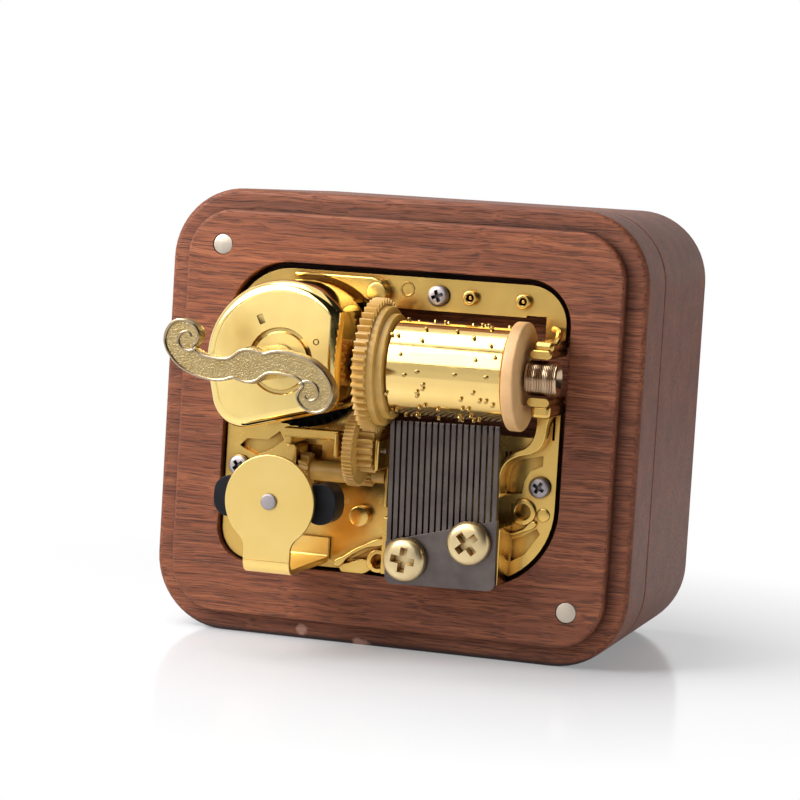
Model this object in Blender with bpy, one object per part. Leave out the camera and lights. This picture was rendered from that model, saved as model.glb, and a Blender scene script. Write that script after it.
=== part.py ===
"""Wooden music box with an open clockwork movement, standing on its long edge.

World frame: metres, +Z up, origin at the centre of the underside, the
movement looks along -Y. Everything is drawn in the frame of the front face
instead, where X runs right, Y runs up from the table and Z comes out of the
wood towards the viewer; one empty turns that frame into the world's.
"""
import math

import bmesh
import bpy
from mathutils import Matrix, Vector

MM = 0.001

# Clearances
SEAT_GAP = 0.3 * MM
RUNNING_GAP = 0.25 * MM
MAGNET_GAP = 0.2 * MM

# Wooden box
BOX_WIDTH = 72.0 * MM
BOX_HEIGHT = 65.6 * MM
BOX_CORNER_RADIUS = 10.7 * MM
FRONT_BLOCK_DEPTH = 11.5 * MM
REAR_BOX_DEPTH = 31.25 * MM
BOX_EDGE_ROUND = 0.9 * MM
SEAM_EDGE_ROUND = 0.3 * MM
PLATFORM_INSET = 3.1 * MM
PLATFORM_STEP = 2.06 * MM
PLATFORM_CORNER_RADIUS = 7.1 * MM
PLATFORM_EDGE_ROUND = 0.5 * MM
REAR_WALL = 5.0 * MM
BACK_THICKNESS = 5.0 * MM

# Pocket for the movement
POCKET_LEFT = -25.9 * MM
POCKET_RIGHT = 25.5 * MM
POCKET_BOTTOM = 10.8 * MM
POCKET_TOP = 55.35 * MM
POCKET_RADII = (9.0 * MM, 6.5 * MM, 12.0 * MM, 5.0 * MM)
POCKET_DEPTH = 5.5 * MM

# Cover magnets
MAGNET_DIAMETER = 3.0 * MM
MAGNET_LENGTH = 2.5 * MM
MAGNET_SINK = 0.1 * MM
MAGNET_FROM_SIDE = 8.5 * MM
MAGNET_FROM_EDGE = 8.3 * MM

# Base casting
BASE_GAP_LEFT = 0.35 * MM
BASE_GAP_RIGHT = 0.9 * MM
BASE_GAP_TOP = 0.9 * MM
BASE_GAP_BOTTOM = 0.4 * MM
BASE_RADII = (9.0 * MM, 5.5 * MM, 11.5 * MM, 4.5 * MM)
BASE_SINK = 1.2 * MM
BASE_THICKNESS = 2.0 * MM
BASE_ROOT = 0.5 * MM
FOOT_RADIUS = 2.3 * MM
LEDGE_WIDTH = 17.4 * MM
LEDGE_BOTTOM = 11.9 * MM
LEDGE_HEIGHT = 8.3 * MM
EAR_THICKNESS = 0.7 * MM
EAR_RIGHT = 0.3 * MM
EAR_LEFT = -5.75 * MM
PILLAR_THICKNESS = 1.6 * MM
ARM_UP = 46.9 * MM
STRIP_UP = 36.9 * MM

# Round bosses on the casting: x, up, radius, front and bore radius in millimetres
BOSSES = (
    (10.5, 52.05, 1.05, 0.1, 0.55),
    (18.32, 52.05, 1.05, 0.1, 0.55),
    (0.83, 52.64, 1.0, -1.05, 0),
    (23.0, 21.8, 1.0, -1.05, 0),
    (-3.1, 51.9, 1.5, 1.3, 0),
    (-4.0, 19.3, 1.5, 0.6, 0),
    (-0.85, 12.95, 1.7, 0.3, 1.05),
    (20.05, 22.03, 1.9, -0.7, 1.15),
)

# Raised shapes: front, then corners as x, up; sunk shapes: depth, then corners
LEG = (2.0, (
    (23.5, 38.6), (23.35, 33.4), (22.7, 31.7), (20.8, 30.7), (18.7, 29.9), (17.5, 28.6), (17.05, 26.6),
    (17.05, 24.0), (16.5, 24.0), (16.5, 26.8), (16.7, 28.9), (17.4, 30.1), (18.6, 30.8), (19.8, 31.4),
    (20.7, 32.4), (21.5, 33.9), (21.7, 35.8), (22.0, 38.6),
))
LOWER_RIB = (-0.6, (
    (16.1, 19.7), (17.9, 19.0), (20.0, 19.6), (21.9, 20.9), (22.2, 20.5), (20.2, 19.1), (17.9, 18.5),
    (15.9, 19.2),
))
BOTTOM_RIB = (0.2, (
    (-7.6, 11.9), (-5.9, 13.4), (-3.1, 15.2), (-0.1, 16.2), (0.0, 15.7), (-2.8, 14.7), (-5.5, 13.0),
    (-6.9, 11.6),
))
FIN = (-0.4, ((-7.0, 11.5), (-5.6, 12.3), (-2.0, 12.6), (-2.0, 11.5)))
RELIEFS = (
    (1.2, ((-23.5, 27.9), (-22.5, 29.0), (-19.2, 29.1), (-17.4, 30.5), (-16.7, 29.2), (-18.5, 27.7),
           (-20.9, 26.6), (-22.2, 27.1))),
    (0.8, ((17.4, 24.6), (17.4, 26.8), (17.9, 28.3), (19.2, 29.4), (22.1, 29.9), (22.4, 28.9),
           (20.6, 28.1), (19.8, 26.6), (19.7, 24.9))),
    (0.8, ((18.5, 17.9), (20.1, 18.5), (22.2, 19.8), (22.7, 19.0), (20.6, 15.9), (18.6, 14.7))),
    (0.8, ((-5.3, 12.7), (-2.8, 14.2), (-0.9, 14.9), (-2.4, 13.2))),
)
TOP_BLOCK_FRONT = 0.8 * MM
TOP_BLOCK_RADIUS = 11.85 * MM
TOP_BLOCK_END = ((-3.8, 50.3), (-2.2, 50.9), (-1.9, 52.7), (-2.6, 53.7), (-4.1, 54.1), (-15.8, 54.1))

# Lobes of the two ears that hold the bush: left, right, lower edge, upper edge, front
BUSH_EARS = (
    (21.75, 24.95, 44.6, 45.9, 8.0),
    (22.1, 25.05, 45.6, 47.05, 7.6),
    (21.85, 25.0, 38.0, 39.2, 8.0),
    (22.3, 25.1, 36.3, 38.3, 7.6),
)

# Base screws
BASE_SCREW_HEAD_RADIUS = 1.55 * MM
BASE_SCREW_HEAD_HEIGHT = 0.9 * MM
BASE_SCREW_SHANK_RADIUS = 0.8 * MM
BASE_SCREW_LENGTH = 8.0 * MM
BASE_SCREW_PLACES = {
    "top": (5.59 * MM, 51.99 * MM),
    "right": (22.3 * MM, 25.76 * MM),
    "left": (-23.3 * MM, 24.96 * MM),
}

# Drum line, which runs along X
DRUM_UP = 41.9 * MM
DRUM_OUT = 6.5 * MM
DRUM_LEFT = 2.55 * MM
DRUM_RIGHT = 19.1 * MM
DRUM_RADIUS = 6.65 * MM
DRUM_WALL = 3.1 * MM
DRUM_SHAFT_RADIUS = 0.8 * MM
END_DISC_RADIUS = 7.7 * MM
END_DISC_THICKNESS = 1.75 * MM
BUSH_RADIUS = 2.5 * MM
BUSH_LENGTH = 4.45 * MM
BUSH_THREAD_DEPTH = 0.18 * MM
BUSH_THREADS = 16

# Gears
PRESSURE_ANGLE = math.radians(20.0)
DRUM_GEAR_TEETH = 48
DRUM_GEAR_MODULE = 0.385 * MM
DRUM_GEAR_LEFT = -1.63 * MM
DRUM_GEAR_FACE = 1.85 * MM
FLANGE_ONE_RADIUS = 8.5 * MM
FLANGE_TWO_RADIUS = 7.5 * MM
FLANGE_THICKNESS = 1.0 * MM
SECOND_PINION_TEETH = 15
SECOND_WHEEL_TEETH = 52
SECOND_WHEEL_MODULE = 0.2 * MM
SECOND_WHEEL_LEFT = -3.7 * MM
SECOND_WHEEL_FACE = 1.5 * MM
THIRD_PINION_TEETH = 14
THIRD_DROP = 4.25 * MM
THIRD_BODY_RADIUS = 1.45 * MM
WORM_WHEEL_TEETH = 12
WORM_WHEEL_FACE = 1.4 * MM
DRIVE_PINION_TEETH = 14
DRIVE_MODULE = 0.42 * MM
DRIVE_PINION_FACE = 1.6 * MM
CROWN_TEETH = 46
CROWN_RIM = 0.8 * MM
CROWN_DISC_THICKNESS = 1.2 * MM
ARBOR_PIN_RADIUS = 0.4 * MM
TOOTH_SHARE = 0.40
FINE_MODULE = 0.4 * MM

# Spring housing and winding parts
WIND_X = -12.75 * MM
HOUSING_RADIUS = 11.4 * MM
HOUSING_FLAT = 8.6 * MM
HOUSING_FRONT = 14.0 * MM
HOUSING_SHORT_SIDE = 4.4 * MM
HOUSING_WALL = 0.5 * MM
HOUSING_EDGE_ROUND = 1.3 * MM
HOUSING_FOOT = (-5.55 * MM, -5.2 * MM)
HOUSING_FOOT_RADIUS = 4.8 * MM
HOUSING_HEEL_RADIUS = 2.5 * MM
HOUSING_HEEL_DROP = 4.48 * MM
HOUSING_RING_RADIUS = 4.4 * MM
HOUSING_RING_WIDTH = 0.35 * MM
HOUSING_RING_DEPTH = 0.2 * MM
HOUSING_HOLE_RADIUS = 2.1 * MM
HOUSING_DENT = (-15.9 * MM, 47.6 * MM)
HOUSING_DENT_SIZE = (0.9 * MM, 1.4 * MM)
WIND_ARBOR_RADIUS = 1.5 * MM
WIND_COLLAR_RADIUS = 2.6 * MM
SPRING_STRIP = 0.3 * MM
SPRING_PITCH = 0.9 * MM
SPRING_TURNS = 4
SPRING_WIDTH = 6.2 * MM
CLUTCH_ROOM = 2.4 * MM
KEY_FRONT = 27.5 * MM
KEY_THICKNESS = 2.5 * MM
KEY_HUB_RADIUS = 2.35 * MM
KEY_WEB = 2.0 * MM
KEY_SOCKET_SPACE = 0.5 * MM

# Half of the key's double scroll as x, up; the other half is the same, turned half round
KEY_HALF = (
    (0.0, 2.40), (1.4, 2.15), (2.2, 1.95), (3.0, 2.25), (4.6, 2.50), (6.4, 2.28), (8.4, 1.72), (10.3, 0.70),
    (11.5, -0.50), (12.25, -1.75), (12.45, -3.1), (12.0, -4.5), (11.1, -5.45), (9.8, -5.75), (8.6, -5.4),
    (7.55, -4.6), (7.15, -3.6), (7.4, -2.7), (7.9, -2.0), (7.2, -1.35), (5.6, -0.95), (3.9, -0.85),
    (2.9, -1.0), (2.2, -1.45), (1.3, -2.1),
)

# Comb
COMB_X = 9.75 * MM
COMB_TIP_UP = 34.45 * MM
COMB_WIDTH = 16.3 * MM
COMB_LENGTH = 23.4 * MM
COMB_TURN = math.radians(1.5)
COMB_FRONT = 6.5 * MM
COMB_THICKNESS = 1.1 * MM
COMB_TEETH = 18
COMB_SLIT = 0.26 * MM
COMB_LONG_TOOTH = 17.2 * MM
COMB_SHORT_TOOTH = 13.4 * MM
COMB_CORNER_RADIUS = 1.1 * MM
COMB_SCREW_HEAD_RADIUS = 3.15 * MM
COMB_SCREW_HEAD_HEIGHT = 1.7 * MM
COMB_SCREW_SHANK_RADIUS = 1.2 * MM
COMB_SCREW_PLACES = {
    "left": (5.27 * MM, 14.69 * MM),
    "right": (14.5 * MM, 17.88 * MM),
}

# Governor
GOVERNOR_X = -12.05 * MM
GOVERNOR_UP = 22.31 * MM
WORM_CORE_RADIUS = 0.55 * MM
WORM_THREAD_RADIUS = 0.75 * MM
WORM_THREAD_BEAD = 0.27 * MM
WORM_TURNS = 4
WORM_END = 0.3 * MM
FAN_RADIUS = 9.1 * MM
FAN_CORNER_RADIUS = 1.2 * MM
FAN_HALF_ANGLE = math.radians(25.0)
FAN_LOW = 11.0 * MM
FAN_HEIGHT = 4.2 * MM
FAN_HUB_RADIUS = 1.6 * MM
BRACKET_RADIUS = 6.6 * MM
BRACKET_FRONT = 17.3 * MM
BRACKET_THICKNESS = 0.8 * MM
BRACKET_STEM_WIDTH = 6.9 * MM
BRACKET_LEG_UP = 12.0 * MM
BRACKET_FOOT = 3.6 * MM
BRACKET_NECK_RADIUS = 2.4 * MM
BRACKET_FOLD_RADIUS = 1.9 * MM
RIVET_RADIUS = 1.15 * MM
RIVET_SHANK_RADIUS = 0.5 * MM
WORM_PHASE = -math.pi / 2

# Worked out from the sizes above
PLATFORM_FACE_Y = -(FRONT_BLOCK_DEPTH + REAR_BOX_DEPTH + SEAT_GAP) / 2 - PLATFORM_STEP
RIM_OUT = -PLATFORM_STEP
SEAM_OUT = RIM_OUT - FRONT_BLOCK_DEPTH
BASE_TOP = -BASE_SINK
BASE_BACK = -BASE_SINK - BASE_THICKNESS
SECOND_UP = DRUM_UP - DRUM_GEAR_MODULE * (DRUM_GEAR_TEETH + SECOND_PINION_TEETH) / 2
THIRD_DISTANCE = SECOND_WHEEL_MODULE * (SECOND_WHEEL_TEETH + THIRD_PINION_TEETH) / 2
THIRD_UP = SECOND_UP - THIRD_DROP
THIRD_OUT = DRUM_OUT - math.sqrt(THIRD_DISTANCE**2 - THIRD_DROP**2)
WORM_WHEEL_RADIUS = THIRD_UP - GOVERNOR_UP - WORM_THREAD_RADIUS - 0.2 * MM
WORM_LEAD = 2 * math.pi * WORM_WHEEL_RADIUS / WORM_WHEEL_TEETH
DRIVE_PINION_RADIUS = DRIVE_MODULE * DRIVE_PINION_TEETH / 2
CROWN_RADIUS = DRIVE_MODULE * CROWN_TEETH / 2
CROWN_PITCH_OUT = DRUM_OUT - DRIVE_PINION_RADIUS
END_DISC_LEFT = DRUM_RIGHT + SEAT_GAP
END_DISC_RIGHT = END_DISC_LEFT + END_DISC_THICKNESS
HOUSING_SIDE = WIND_X + HOUSING_FLAT
BUSH_RIGHT = END_DISC_RIGHT + SEAT_GAP + BUSH_LENGTH
DRIVE_PINION_LEFT = DRUM_GEAR_LEFT - SEAT_GAP - DRIVE_PINION_FACE
PILLAR_LEFT = GOVERNOR_X - WORM_WHEEL_FACE / 2 - SEAT_GAP - PILLAR_THICKNESS
WORM_FOOT = BASE_TOP - 0.7 * MM

part_objects = bpy.data.collections.new("wooden_music_box")
cutter_objects = bpy.data.collections.new("cutters")
materials = {}


def clear_scene():
    for item in list(bpy.data.objects):
        bpy.data.objects.remove(item, do_unlink=True)


def material(name, colour, metallic, roughness):
    if name not in materials:
        made = bpy.data.materials.new(name)
        made.use_nodes = True
        shader = made.node_tree.nodes["Principled BSDF"]
        shader.inputs["Base Color"].default_value = (*colour, 1.0)
        shader.inputs["Metallic"].default_value = metallic
        shader.inputs["Roughness"].default_value = roughness
        materials[name] = made
    return materials[name]


def walnut():
    return material("walnut", (0.16, 0.062, 0.036), 0.0, 0.5)


def gold_plate():
    return material("gold_plate", (0.83, 0.60, 0.20), 1.0, 0.18)


def tan_plastic():
    return material("tan_plastic", (0.72, 0.50, 0.26), 0.0, 0.4)


def beige_plastic():
    return material("beige_plastic", (0.72, 0.50, 0.36), 0.0, 0.4)


def grey_steel():
    return material("grey_steel", (0.19, 0.17, 0.18), 1.0, 0.35)


def bright_steel():
    return material("bright_steel", (0.55, 0.54, 0.52), 1.0, 0.3)


def pale_gold():
    return material("pale_gold", (0.80, 0.70, 0.42), 1.0, 0.25)


def black_plastic():
    return material("black_plastic", (0.012, 0.012, 0.015), 0.0, 0.35)


# Meshes, drawn around their own origin with Z as the long axis
def as_mesh(bm, name):
    bmesh.ops.recalc_face_normals(bm, faces=bm.faces)
    mesh = bpy.data.meshes.new(name)
    bm.to_mesh(mesh)
    bm.free()
    return mesh


def rod(radius, low, high, sides=32):
    bm = bmesh.new()
    middle = Matrix.Translation((0, 0, (low + high) / 2))
    bmesh.ops.create_cone(
        bm, cap_ends=True, segments=sides, radius1=radius, radius2=radius,
        depth=high - low, matrix=middle,
    )
    return as_mesh(bm, "rod")


def block(low, high):
    size = [b - a for a, b in zip(low, high)]
    centre = [(a + b) / 2 for a, b in zip(low, high)]
    bm = bmesh.new()
    place = Matrix.Translation(centre) @ Matrix.Diagonal((*size, 1))
    bmesh.ops.create_cube(bm, size=1.0, matrix=place)
    return as_mesh(bm, "block")


def curve_mesh(curve, rise=0.0):
    """A curve's solid as a welded mesh, lifted along Z."""
    holder = bpy.data.objects.new("outline", curve)
    bpy.context.scene.collection.objects.link(holder)
    depsgraph = bpy.context.evaluated_depsgraph_get()
    mesh = bpy.data.meshes.new_from_object(holder.evaluated_get(depsgraph))
    bpy.data.objects.remove(holder, do_unlink=True)
    bpy.data.curves.remove(curve)
    bm = bmesh.new()
    bm.from_mesh(mesh)
    bmesh.ops.remove_doubles(bm, verts=bm.verts, dist=1e-6)
    bmesh.ops.dissolve_limit(bm, angle_limit=0.001, verts=bm.verts, edges=bm.edges)
    bmesh.ops.translate(bm, vec=(0, 0, rise), verts=bm.verts)
    bmesh.ops.recalc_face_normals(bm, faces=bm.faces)
    bm.to_mesh(mesh)
    bm.free()
    return mesh


def plate(loops, low, high, smooth=False):
    """A flat plate between two heights; loops after the first are its windows."""
    curve = bpy.data.curves.new("plate", "CURVE")
    curve.dimensions = "2D"
    curve.fill_mode = "BOTH"
    curve.extrude = (high - low) / 2
    for points in loops:
        if smooth:
            spline = curve.splines.new("BEZIER")
            spline.bezier_points.add(len(points) - 1)
            spline.resolution_u = 3
            for knot, (x, y) in zip(spline.bezier_points, points):
                knot.co = (x, y, 0)
                knot.handle_left_type = "AUTO"
                knot.handle_right_type = "AUTO"
        else:
            spline = curve.splines.new("POLY")
            spline.points.add(len(points) - 1)
            for knot, (x, y) in zip(spline.points, points):
                knot.co = (x, y, 0, 1)
        spline.use_cyclic_u = True
    return curve_mesh(curve, (low + high) / 2)


def turned(profile, sides=32):
    """Outline of (radius, height) pairs, top to bottom, spun about Z."""
    bm = bmesh.new()
    corners = [bm.verts.new((radius, 0, height)) for radius, height in profile]
    edges = [bm.edges.new(pair) for pair in zip(corners, corners[1:])]
    edges.append(bm.edges.new((corners[-1], corners[0])))
    bmesh.ops.spin(
        bm, geom=corners + edges, cent=(0, 0, 0), axis=(0, 0, 1),
        angle=2 * math.pi, steps=sides, use_merge=True,
    )
    bmesh.ops.remove_doubles(bm, verts=bm.verts, dist=1e-6)
    return as_mesh(bm, "turned")


def wire(points, radius, resolution=0):
    curve = bpy.data.curves.new("wire", "CURVE")
    curve.dimensions = "3D"
    curve.bevel_depth = radius
    curve.bevel_resolution = resolution
    curve.use_fill_caps = True
    spline = curve.splines.new("POLY")
    spline.points.add(len(points) - 1)
    for knot, place in zip(spline.points, points):
        knot.co = (*place, 1)
    return curve_mesh(curve)


def round_edges(mesh, height, width, steps):
    """Bevels the rim of a plate at one height."""
    bm = bmesh.new()
    bm.from_mesh(mesh)
    rim = [
        edge for edge in bm.edges
        if all(abs(end.co.z - height) < 1e-7 for end in edge.verts)
        and any(abs(face.normal.z) < 0.5 for face in edge.link_faces)
    ]
    bmesh.ops.bevel(
        bm, geom=rim, offset=width, segments=steps, profile=0.5,
        affect="EDGES", clamp_overlap=True,
    )
    bm.to_mesh(mesh)
    bm.free()
    return mesh


# Outlines
def arc(centre, radius, start, end, steps):
    """Points of an arc, angles in degrees."""
    turn = [math.radians(start + (end - start) * i / steps) for i in range(steps + 1)]
    return [(centre[0] + radius * math.cos(a), centre[1] + radius * math.sin(a)) for a in turn]


def rounded_rectangle(left, right, bottom, top, radii, steps=7):
    """Radii run top left, top right, bottom right, bottom left."""
    top_left, top_right, bottom_right, bottom_left = radii
    return (
        arc((right - top_right, top - top_right), top_right, 90, 0, steps)
        + arc((right - bottom_right, bottom + bottom_right), bottom_right, 0, -90, steps)
        + arc((left + bottom_left, bottom + bottom_left), bottom_left, -90, -180, steps)
        + arc((left + top_left, top - top_left), top_left, 180, 90, steps)
    )


def in_mm(points):
    return [(x * MM, up * MM) for x, up in points]


def involute(angle):
    return math.tan(angle) - angle


def gear_outline(teeth, module, tooth_at, addendum=0.95, dedendum=1.2):
    """Involute teeth, thinned for backlash, with one tooth at the given angle."""
    pitch_radius = module * teeth / 2
    base_radius = pitch_radius * math.cos(PRESSURE_ANGLE)
    tip = pitch_radius + addendum * module
    root = pitch_radius - dedendum * module
    half_pitch = TOOTH_SHARE * math.pi / teeth
    radii = (root, tip) if module < FINE_MODULE else (root, pitch_radius, tip)

    def half_width(radius):
        if radius <= base_radius:
            return half_pitch + involute(PRESSURE_ANGLE)
        return half_pitch + involute(PRESSURE_ANGLE) - involute(math.acos(base_radius / radius))

    points = []
    for i in range(teeth):
        middle = tooth_at + 2 * math.pi * i / teeth
        flank = [(radius, half_width(radius)) for radius in radii]
        for radius, half in flank:
            points.append((radius * math.cos(middle - half), radius * math.sin(middle - half)))
        for radius, half in reversed(flank):
            points.append((radius * math.cos(middle + half), radius * math.sin(middle + half)))
    return points


def housing_outline(inset):
    """D-shaped cup: a round back, a flat beside the drum and a sloping foot."""
    centre = (WIND_X, DRUM_UP)
    flat_angle = math.degrees(math.acos((HOUSING_FLAT - inset) / (HOUSING_RADIUS - inset)))
    foot = (WIND_X + HOUSING_FOOT[0], DRUM_UP + HOUSING_FOOT[1])
    heel = (WIND_X + HOUSING_FLAT - HOUSING_HEEL_RADIUS, DRUM_UP - HOUSING_HEEL_DROP)
    return (
        arc(centre, HOUSING_RADIUS - inset, flat_angle, 193, 22)
        + arc(foot, HOUSING_FOOT_RADIUS - inset, 193, 285, 8)
        + arc(heel, HOUSING_HEEL_RADIUS - inset, 285, 360, 5)
    )


def short_sides():
    """Corner-shaped area, beside the drum and below, where the cup's wall stops short."""
    right = HOUSING_SIDE + 1 * MM
    inner = HOUSING_SIDE - 1.6 * MM
    left = WIND_X - 4.5 * MM
    low, step, high = DRUM_UP - 13 * MM, DRUM_UP - 4 * MM, DRUM_UP + 13 * MM
    return [(left, low), (right, low), (right, high), (inner, high), (inner, step), (left, step)]


def spring_outline():
    """A flat strip wound in a spiral, seen from its end."""
    steps = 16 * SPRING_TURNS
    inner_radius = WIND_COLLAR_RADIUS + SEAT_GAP
    inner, outer = [], []
    for i in range(steps + 1):
        turn = 2 * math.pi * i / 16
        radius = inner_radius + SPRING_PITCH * turn / (2 * math.pi)
        inner.append((radius * math.cos(turn), radius * math.sin(turn)))
        outer.append(((radius + SPRING_STRIP) * math.cos(turn), (radius + SPRING_STRIP) * math.sin(turn)))
    return inner + outer[::-1]


def key_outline():
    half = in_mm(KEY_HALF)
    return half + [(-x, -up) for x, up in half]


def comb_outline():
    """Comb seen from the front: root block below, teeth up to the drum."""
    left = -COMB_WIDTH / 2
    pitch = COMB_WIDTH / COMB_TEETH
    bottom = -COMB_LENGTH
    inset = COMB_CORNER_RADIUS
    points = (
        arc((left + inset, bottom + inset), inset, 180, 270, 4)
        + arc((-left - inset, bottom + inset), inset, 270, 360, 4)
    )
    for i in reversed(range(1, COMB_TEETH)):
        share = i / COMB_TEETH
        length = COMB_LONG_TOOTH + (COMB_SHORT_TOOTH - COMB_LONG_TOOTH) * share
        slit = left + i * pitch
        points += [
            (slit + pitch - COMB_SLIT / 2, 0) if i < COMB_TEETH - 1 else (-left, 0),
            (slit + COMB_SLIT / 2, 0),
            (slit + COMB_SLIT / 2, -length),
            (slit - COMB_SLIT / 2, -length),
        ]
    return points + [(left + pitch - COMB_SLIT / 2, 0), (left, 0)]


# Placing
def add(name, mesh, finish, place=(0, 0, 0), turn=(0, 0, 0), parent=None):
    item = bpy.data.objects.new(name, mesh)
    item.location = place
    item.rotation_euler = turn
    item.parent = parent
    part_objects.objects.link(item)
    mesh.materials.clear()
    mesh.materials.append(finish)
    return item


def shape(mesh, target, operation, place=(0, 0, 0), turn=(0, 0, 0)):
    """Unites a mesh with an object or cuts it away; placed in the object's own frame."""
    tool = bpy.data.objects.new(target.name + "_" + operation.lower(), mesh)
    tool.parent = target
    tool.location = place
    tool.rotation_euler = turn
    tool.hide_render = True
    tool.display_type = "WIRE"
    cutter_objects.objects.link(tool)
    modifier = target.modifiers.new(operation.title(), "BOOLEAN")
    modifier.operation = operation
    modifier.solver = "EXACT"
    modifier.object = tool
    return tool


def unite(mesh, target, place=(0, 0, 0), turn=(0, 0, 0)):
    return shape(mesh, target, "UNION", place, turn)


def cut(mesh, target, place=(0, 0, 0), turn=(0, 0, 0)):
    return shape(mesh, target, "DIFFERENCE", place, turn)


def smooth_round_faces(item):
    item.data.shade_smooth()
    item.data.set_sharp_from_angle(angle=math.radians(35))


ALONG_X = (0, math.pi / 2, 0)


def make_front_block(face):
    half = BOX_WIDTH / 2
    outline = rounded_rectangle(-half, half, 0, BOX_HEIGHT, (BOX_CORNER_RADIUS,) * 4)
    body = plate([outline], SEAM_OUT, RIM_OUT)
    body = round_edges(body, RIM_OUT, BOX_EDGE_ROUND, 2)
    body = round_edges(body, SEAM_OUT, SEAM_EDGE_ROUND, 1)
    item = add("front_block", body, walnut(), parent=face)
    inner = rounded_rectangle(
        -half + PLATFORM_INSET, half - PLATFORM_INSET, PLATFORM_INSET,
        BOX_HEIGHT - PLATFORM_INSET, (PLATFORM_CORNER_RADIUS,) * 4,
    )
    platform = round_edges(plate([inner], RIM_OUT - 1 * MM, 0), 0, PLATFORM_EDGE_ROUND, 2)
    unite(platform, item)
    pocket = rounded_rectangle(POCKET_LEFT, POCKET_RIGHT, POCKET_BOTTOM, POCKET_TOP, POCKET_RADII)
    cut(plate([pocket], -POCKET_DEPTH, 1 * MM), item)
    for x, up in BASE_SCREW_PLACES.values():
        depth = BASE_TOP - BASE_SCREW_LENGTH - SEAT_GAP
        hole = rod(BASE_SCREW_SHANK_RADIUS + SEAT_GAP, depth, -POCKET_DEPTH + 1 * MM, 16)
        cut(hole, item, (x, up, 0))
    for x, up in magnet_places():
        hole = rod(MAGNET_DIAMETER / 2 + MAGNET_GAP, -MAGNET_SINK - MAGNET_LENGTH - SEAT_GAP, 1 * MM)
        cut(hole, item, (x, up, 0))
    smooth_round_faces(item)
    return item


def make_rear_box(face):
    half = BOX_WIDTH / 2
    outline = rounded_rectangle(-half, half, 0, BOX_HEIGHT, (BOX_CORNER_RADIUS,) * 4)
    front = SEAM_OUT - SEAT_GAP
    back = front - REAR_BOX_DEPTH
    body = plate([outline], back, front)
    body = round_edges(body, front, SEAM_EDGE_ROUND, 1)
    body = round_edges(body, back, BOX_EDGE_ROUND, 2)
    item = add("rear_box", body, walnut(), parent=face)
    radius = BOX_CORNER_RADIUS - REAR_WALL
    cavity = rounded_rectangle(
        -half + REAR_WALL, half - REAR_WALL, REAR_WALL, BOX_HEIGHT - REAR_WALL, (radius,) * 4,
    )
    cut(plate([cavity], back + BACK_THICKNESS, front + 1 * MM), item)
    smooth_round_faces(item)
    return item


def magnet_places():
    out = BOX_WIDTH / 2 - MAGNET_FROM_SIDE
    return ((-out, BOX_HEIGHT - MAGNET_FROM_EDGE), (out, MAGNET_FROM_EDGE))


def make_magnets(face):
    for name, (x, up) in zip(("cover_magnet_upper", "cover_magnet_lower"), magnet_places()):
        slug = rod(MAGNET_DIAMETER / 2, -MAGNET_SINK - MAGNET_LENGTH, -MAGNET_SINK)
        smooth_round_faces(add(name, slug, bright_steel(), (x, up, 0), parent=face))


def base_outline():
    return rounded_rectangle(
        POCKET_LEFT + BASE_GAP_LEFT, POCKET_RIGHT - BASE_GAP_RIGHT,
        POCKET_BOTTOM + BASE_GAP_BOTTOM, POCKET_TOP - BASE_GAP_TOP, BASE_RADII,
    )


def make_base_casting(face):
    """Die-cast base with its bosses, ribs, comb ledge, arbor ears and bush ears."""
    item = add("base_casting", plate([base_outline()], BASE_BACK, BASE_TOP), gold_plate(), parent=face)
    cut_base_windows(item)
    root = BASE_TOP - BASE_ROOT
    for x, up in BASE_SCREW_PLACES.values():
        unite(rod(FOOT_RADIUS, SEAT_GAP - POCKET_DEPTH, root, 16), item, (x, up, 0))
    block_outline = arc((WIND_X, DRUM_UP), TOP_BLOCK_RADIUS, 105, 48, 8) + in_mm(TOP_BLOCK_END)
    unite(plate([block_outline], root, TOP_BLOCK_FRONT), item)
    for front, corners in (LEG, LOWER_RIB, BOTTOM_RIB, FIN):
        unite(plate([in_mm(corners)], root, front * MM), item)
    for x, up, radius, front, bore in BOSSES:
        unite(rod(radius * MM, root, front * MM, 16), item, (x * MM, up * MM, 0))
    for left, right, low, high, front in BUSH_EARS:
        lobe = rounded_rectangle(left * MM, right * MM, low * MM, high * MM, (0.5 * MM,) * 4, 3)
        unite(round_edges(plate([lobe], root, front * MM), front * MM, 0.3 * MM, 1), item)
    unite_bearings(item, root)
    cut_base_holes(item)
    smooth_round_faces(item)
    return item


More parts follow.
